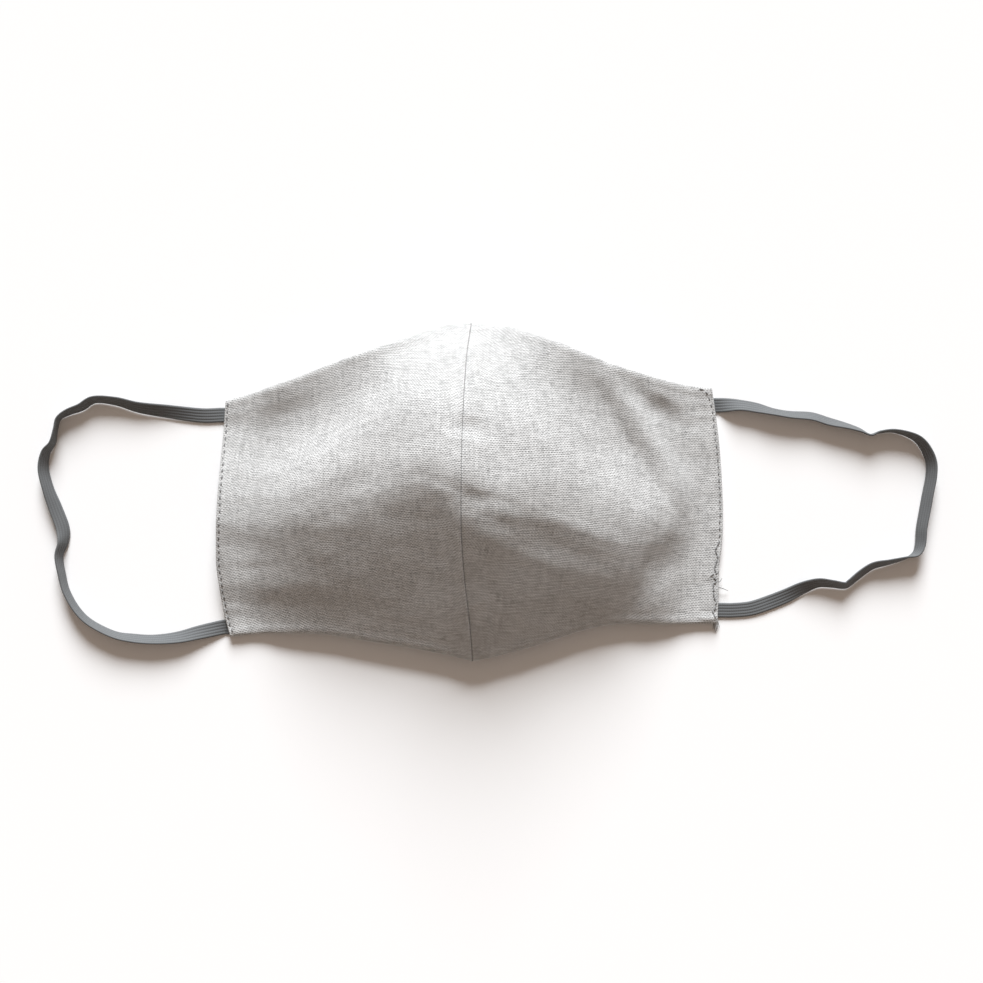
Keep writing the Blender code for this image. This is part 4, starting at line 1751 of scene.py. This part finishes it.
@dataclass
class SideHem:
    """The side edge of a panel, turned under between the two ends of the elastic."""

    surface: PanelSurface
    thickness: float = 0.00108
    fold_round: float = 0.0006
    rim_round: float = 0.0004  # at the cut edge under the cloth
    end_round: float = 0.0005  # at the two ends
    thin_end: float = 0.04  # the square of the least share of the thickness there
    wave: Wave = HEM_WAVE
    rows: int = 161
    near_fold: tuple[float, ...] = (0, 0.04, 0.12, 0.25, 0.45, 0.7)
    under: tuple[float, float, int] = (1.1, 7.6, 22)
    near_rim: tuple[float, ...] = (7.85, 8.0)

    def insets(self) -> Array:
        """The distances of the columns from the fold, whose tables are in millimetres."""
        return np.concatenate([self.near_fold, np.linspace(*self.under), self.near_rim]) / 1000

    @property
    def name(self) -> str:
        """The piece's name."""
        return f"{self.surface.half.side.word}_side_hem_cloth"

    def build(self, finishes: Finishes) -> bpy.types.Object:
        """Build the hem and dress it.

        Args:
            finishes: The mask's materials.

        Returns:
            The hem's piece.
        """
        sizes, half = self.surface.sizes, self.surface.half
        clear = sizes.elastic_width / 2 + sizes.gap
        low = -half.chin_exit * sizes.chin_reach + clear
        high = half.nose_exit * sizes.nose_reach - clear
        y = np.linspace(low, high, self.rows)[:, None]
        inset = self.insets()
        wander = self.wave.height * (inset / sizes.hem_width) ** 4
        depth = inset + wander * ripple(y, 0 * y, self.wave) - wander
        round_in = np.clip(inset / self.fold_round, 0.0, 1.0)
        round_rim = np.clip((sizes.hem_width - inset) / self.rim_round, 0.0, 1.0)
        thick = self.thickness * np.sqrt(1 - (1 - np.minimum(round_in, round_rim)) ** 2)
        centre = self.surface.side_height(y) + self.thickness / 2 + 0 * inset
        ends = np.minimum(y - low, high - y)
        thick = thick * np.sqrt(np.clip(ends / self.end_round, self.thin_end, 1.0))
        x = self.surface.side_place(y, depth)
        grids = [np.stack([x, y + 0 * x, centre + sign * thick / 2], axis=-1) for sign in (1, -1)]
        around = np.concatenate([grids[0], grids[1][:, -2:0:-1]], axis=1)
        flat = np.stack([inset * half.side.value + 0 * y, y + 0 * inset], axis=-1)
        places = np.concatenate([flat, flat[:, -2:0:-1]], axis=1)
        faces = tube_faces(*around.shape[:2])
        piece = mesh_piece(self.name, around.reshape(-1, 3), faces, places.reshape(-1, 2))
        piece.data.materials.append(finishes.cloth)
        declare(piece, f"{half.side.word}_side_hem")
        return piece


@dataclass
class EarLoop:
    """The flat elastic band of one side, which lies on the table or stands on one edge."""

    surface: PanelSurface
    steps_per_point: int = 9
    ribs: int = 5
    rib_depth: float = 0.00006
    points_across: int = 31
    even: float = 0.30  # 1 spreads the section's points evenly, 0 crowds them at its edges
    squareness: int = 10  # power that keeps the section thick up to its edges

    @property
    def name(self) -> str:
        """The piece's name."""
        return f"{self.surface.half.side.word}_ear_elastic"

    def exits(self) -> tuple[float, float]:
        """Y of the loop's nose end and of its chin end, where they leave the side edge."""
        sizes, half = self.surface.sizes, self.surface.half
        return half.nose_exit * sizes.nose_reach, -half.chin_exit * sizes.chin_reach

    def route(self) -> Array:
        """The route's own points.

        Returns:
            A row of X, Y and the band's roll for each point, from seat to seat.
        """
        sizes, half = self.surface.sizes, self.surface.half
        nose_exit, chin_exit = self.exits()
        outs = (-sizes.elastic_seat, -sizes.elastic_seat / 2, 0.0, sizes.exit_run)
        ends = [[(self.surface.side_place(y, -out), y, 0.0) for out in outs] for y in (nose_exit, chin_exit)]
        middle = []
        for point in half.route:
            y = blend(chin_exit, nose_exit, point.up)
            edge = blend(self.surface.side_place(chin_exit), self.surface.side_place(nose_exit), point.up)
            middle.append((edge + half.side.value * point.out * half.loop_reach, y, math.radians(point.roll)))
        return np.array(ends[0] + middle + ends[1][::-1], float)

    def smooth_route(self) -> Array:
        """Follow the smooth curve through the route's own points.

        Returns:
            A row of X, Y and the band's roll for each of many points, close together.
        """
        own = self.route()
        padded = np.concatenate([[2 * own[0] - own[1]], own, [2 * own[-1] - own[-2]]])
        before, start, end, after = padded[:-3], padded[1:-2], padded[2:-1], padded[3:]
        curve = []
        for step in range(self.steps_per_point):
            way = step / self.steps_per_point
            curve.append(
                start
                + (end - before) * (way / 2)
                + (2 * before - 5 * start + 4 * end - after) * (way**2 / 2)
                + (3 * start - before - 3 * end + after) * (way**3 / 2)
            )
        return np.concatenate([np.stack(curve, axis=1).reshape(-1, 3), own[-1:]])

    def section(self) -> tuple[Array, Array]:
        """The upper half of the ribbed cross-section.

        Returns:
            Places across the band, as shares of its width from the middle, and the height over them.
        """
        sizes = self.surface.sizes
        crowded = np.sin(np.linspace(-math.pi / 2, math.pi / 2, self.points_across)) * (1 - self.even) / 2
        share = crowded + np.linspace(-self.even / 2, self.even / 2, self.points_across)
        rib = np.abs(np.sin(math.pi * self.ribs * (share + 0.5)))
        edge = np.sqrt(1 - np.clip(np.abs(2 * share), 0, 1) ** self.squareness)
        height = (sizes.elastic_thickness / 2 - self.rib_depth * (1 - rib)) * edge
        return share, height

    def build(self, finishes: Finishes) -> bpy.types.Object:
        """Build the band and dress it.

        Args:
            finishes: The mask's materials.

        Returns:
            The band's piece.
        """
        sizes = self.surface.sizes
        line = self.smooth_route()
        ahead = np.gradient(line[:, :2], axis=0)
        ahead /= np.linalg.norm(ahead, axis=1, keepdims=True)
        left = np.stack([-ahead[:, 1], ahead[:, 0], 0 * ahead[:, 0]], axis=-1)
        upright = np.array([0.0, 0.0, 1.0])
        cosine, sine = np.cos(line[:, 2:]), np.sin(line[:, 2:])
        across = left * cosine + upright * sine
        through = upright * cosine - left * sine
        rise = np.abs(across[:, 2]) * sizes.elastic_width / 2
        rise = rise + np.abs(through[:, 2]) * sizes.elastic_thickness / 2
        centre = np.stack([line[:, 0], line[:, 1], rise], axis=-1)
        share, height = self.section()
        share = np.concatenate([share, share[-2:0:-1]])
        height = np.concatenate([height, -height[-2:0:-1]])
        wide = across[:, None] * (share * sizes.elastic_width)[:, None]
        rings = centre[:, None] + wide + through[:, None] * height[:, None]
        run = arc_lengths(centre, axis=0)
        places = np.stack([np.broadcast_to(share + 0.5, rings.shape[:2]), run[:, None] + 0 * share], axis=-1)
        faces = tube_faces(*rings.shape[:2])
        piece = mesh_piece(self.name, rings.reshape(-1, 3), faces, places.reshape(-1, 2))
        piece.data.materials.append(finishes.elastic)
        nose_exit = self.exits()[0]
        declare(piece, f"{self.surface.half.side.word}_ear_loop")
        float(self.surface.side_place(nose_exit))
        log.info("%s is %.4f m long", self.name, run[-1])
        return piece


@dataclass(frozen=True)
class Studio:
    """The table, the light from beyond the nose edge, the camera straight above and the air's own light."""

    view_width: float = 0.41778  # what the camera sees of the table, side to side
    view_x: float = 0.0091375
    view_y: float = 0.000425
    camera_height: float = 0.70
    sensor: float = 36.0
    table_size: float = 3.0
    table_drop: float = 0.0001
    table_colour: Colour = (0.98, 0.98, 0.98)
    light_height: float = 25.0  # degrees above the table
    light_spread: float = 27.0  # degrees across
    light_power: float = 6.15
    light: Colour = (0.93, 0.965, 1.0)
    air: Colour = (1.0, 0.80, 0.66)
    air_power: float = 0.27

    def camera(self) -> None:
        """Hang the camera straight above the table."""
        data = bpy.data.cameras.new("camera")
        data.sensor_width = self.sensor
        data.lens = self.sensor * self.camera_height / self.view_width
        data.clip_start = 0.01
        camera = bpy.data.objects.new("camera", data)
        camera.location = (self.view_x, self.view_y, self.camera_height)
        bpy.context.scene.collection.objects.link(camera)
        bpy.context.scene.camera = camera

    def table(self) -> None:
        """Lay the plain pale table under the mask."""
        bpy.ops.mesh.primitive_plane_add(size=self.table_size, location=(0, 0, -self.table_drop))
        table = bpy.context.object
        table.name = "table"
        material, book, shader = new_finish("white_table")
        book.fill(shader, Base_Color=(*self.table_colour, 1.0), Roughness=0.9, Specular_IOR_Level=0.1)
        table.data.materials.append(material)

    def lights(self) -> None:
        """Set the soft window light and the dim light of the room."""
        data = bpy.data.lights.new("window_light", "SUN")
        data.angle = math.radians(self.light_spread)
        data.energy = self.light_power
        data.color = self.light
        lamp = bpy.data.objects.new("window_light", data)
        height = math.radians(self.light_height)
        lamp.location = (0.0, math.cos(height), math.sin(height))
        lamp.rotation_euler = (-lamp.location).to_track_quat("-Z", "Y").to_euler()
        bpy.context.scene.collection.objects.link(lamp)
        world = bpy.data.worlds.new("room")
        world.use_nodes = True
        air = world.node_tree.nodes["Background"]
        air.inputs["Color"].default_value = (*self.air, 1.0)
        air.inputs["Strength"].default_value = self.air_power
        bpy.context.scene.world = world
        bpy.context.scene.view_settings.view_transform = "Standard"


def main() -> None:
    """Build the mask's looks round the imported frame."""
    logging.basicConfig(level=logging.INFO, format="%(message)s")
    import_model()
    deselect_all()
    studio = Studio()
    studio.camera()
    studio.lights()
    studio.table()
    sizes = ClothSizes.from_frame()
    finishes = Finishes.make()
    for half in (LEFT_HALF, RIGHT_HALF):
        surface = PanelSurface(sizes, half)
        elastic = EarLoop(surface).build(finishes)
        hem = SideHem(surface).build(finishes)
        panel = ClothPanel(surface, flat_width=0.120, flat_height=0.165, flat_area=0.0140)
        cloth = panel.build(finishes)
        rows = [Stitches(f"{half.side.word}_stitches", panel.face, STITCH_ROWS[half.side])]
        if half.side is Side.RIGHT:
            lock = {"pitch": LOCK_PITCH, "length": LOCK_LENGTH, "sway": LOCK_SWAY}
            rows.append(Stitches("right_lock_stitches", panel.face, LOCK_ROW, **lock))
        sewn = [row.build(finishes) for row in rows]
        panel.place(cloth, [hem, *sewn])
        for piece in (elastic, hem, cloth, *sewn):
            log.info("%s has %d faces", piece.name, len(piece.data.polygons))
    corner = PanelSurface(sizes, RIGHT_HALF).corner()
    YarnEnds(corner, YARN_ENDS).build(finishes)


if __name__ == "__main__":
    main()
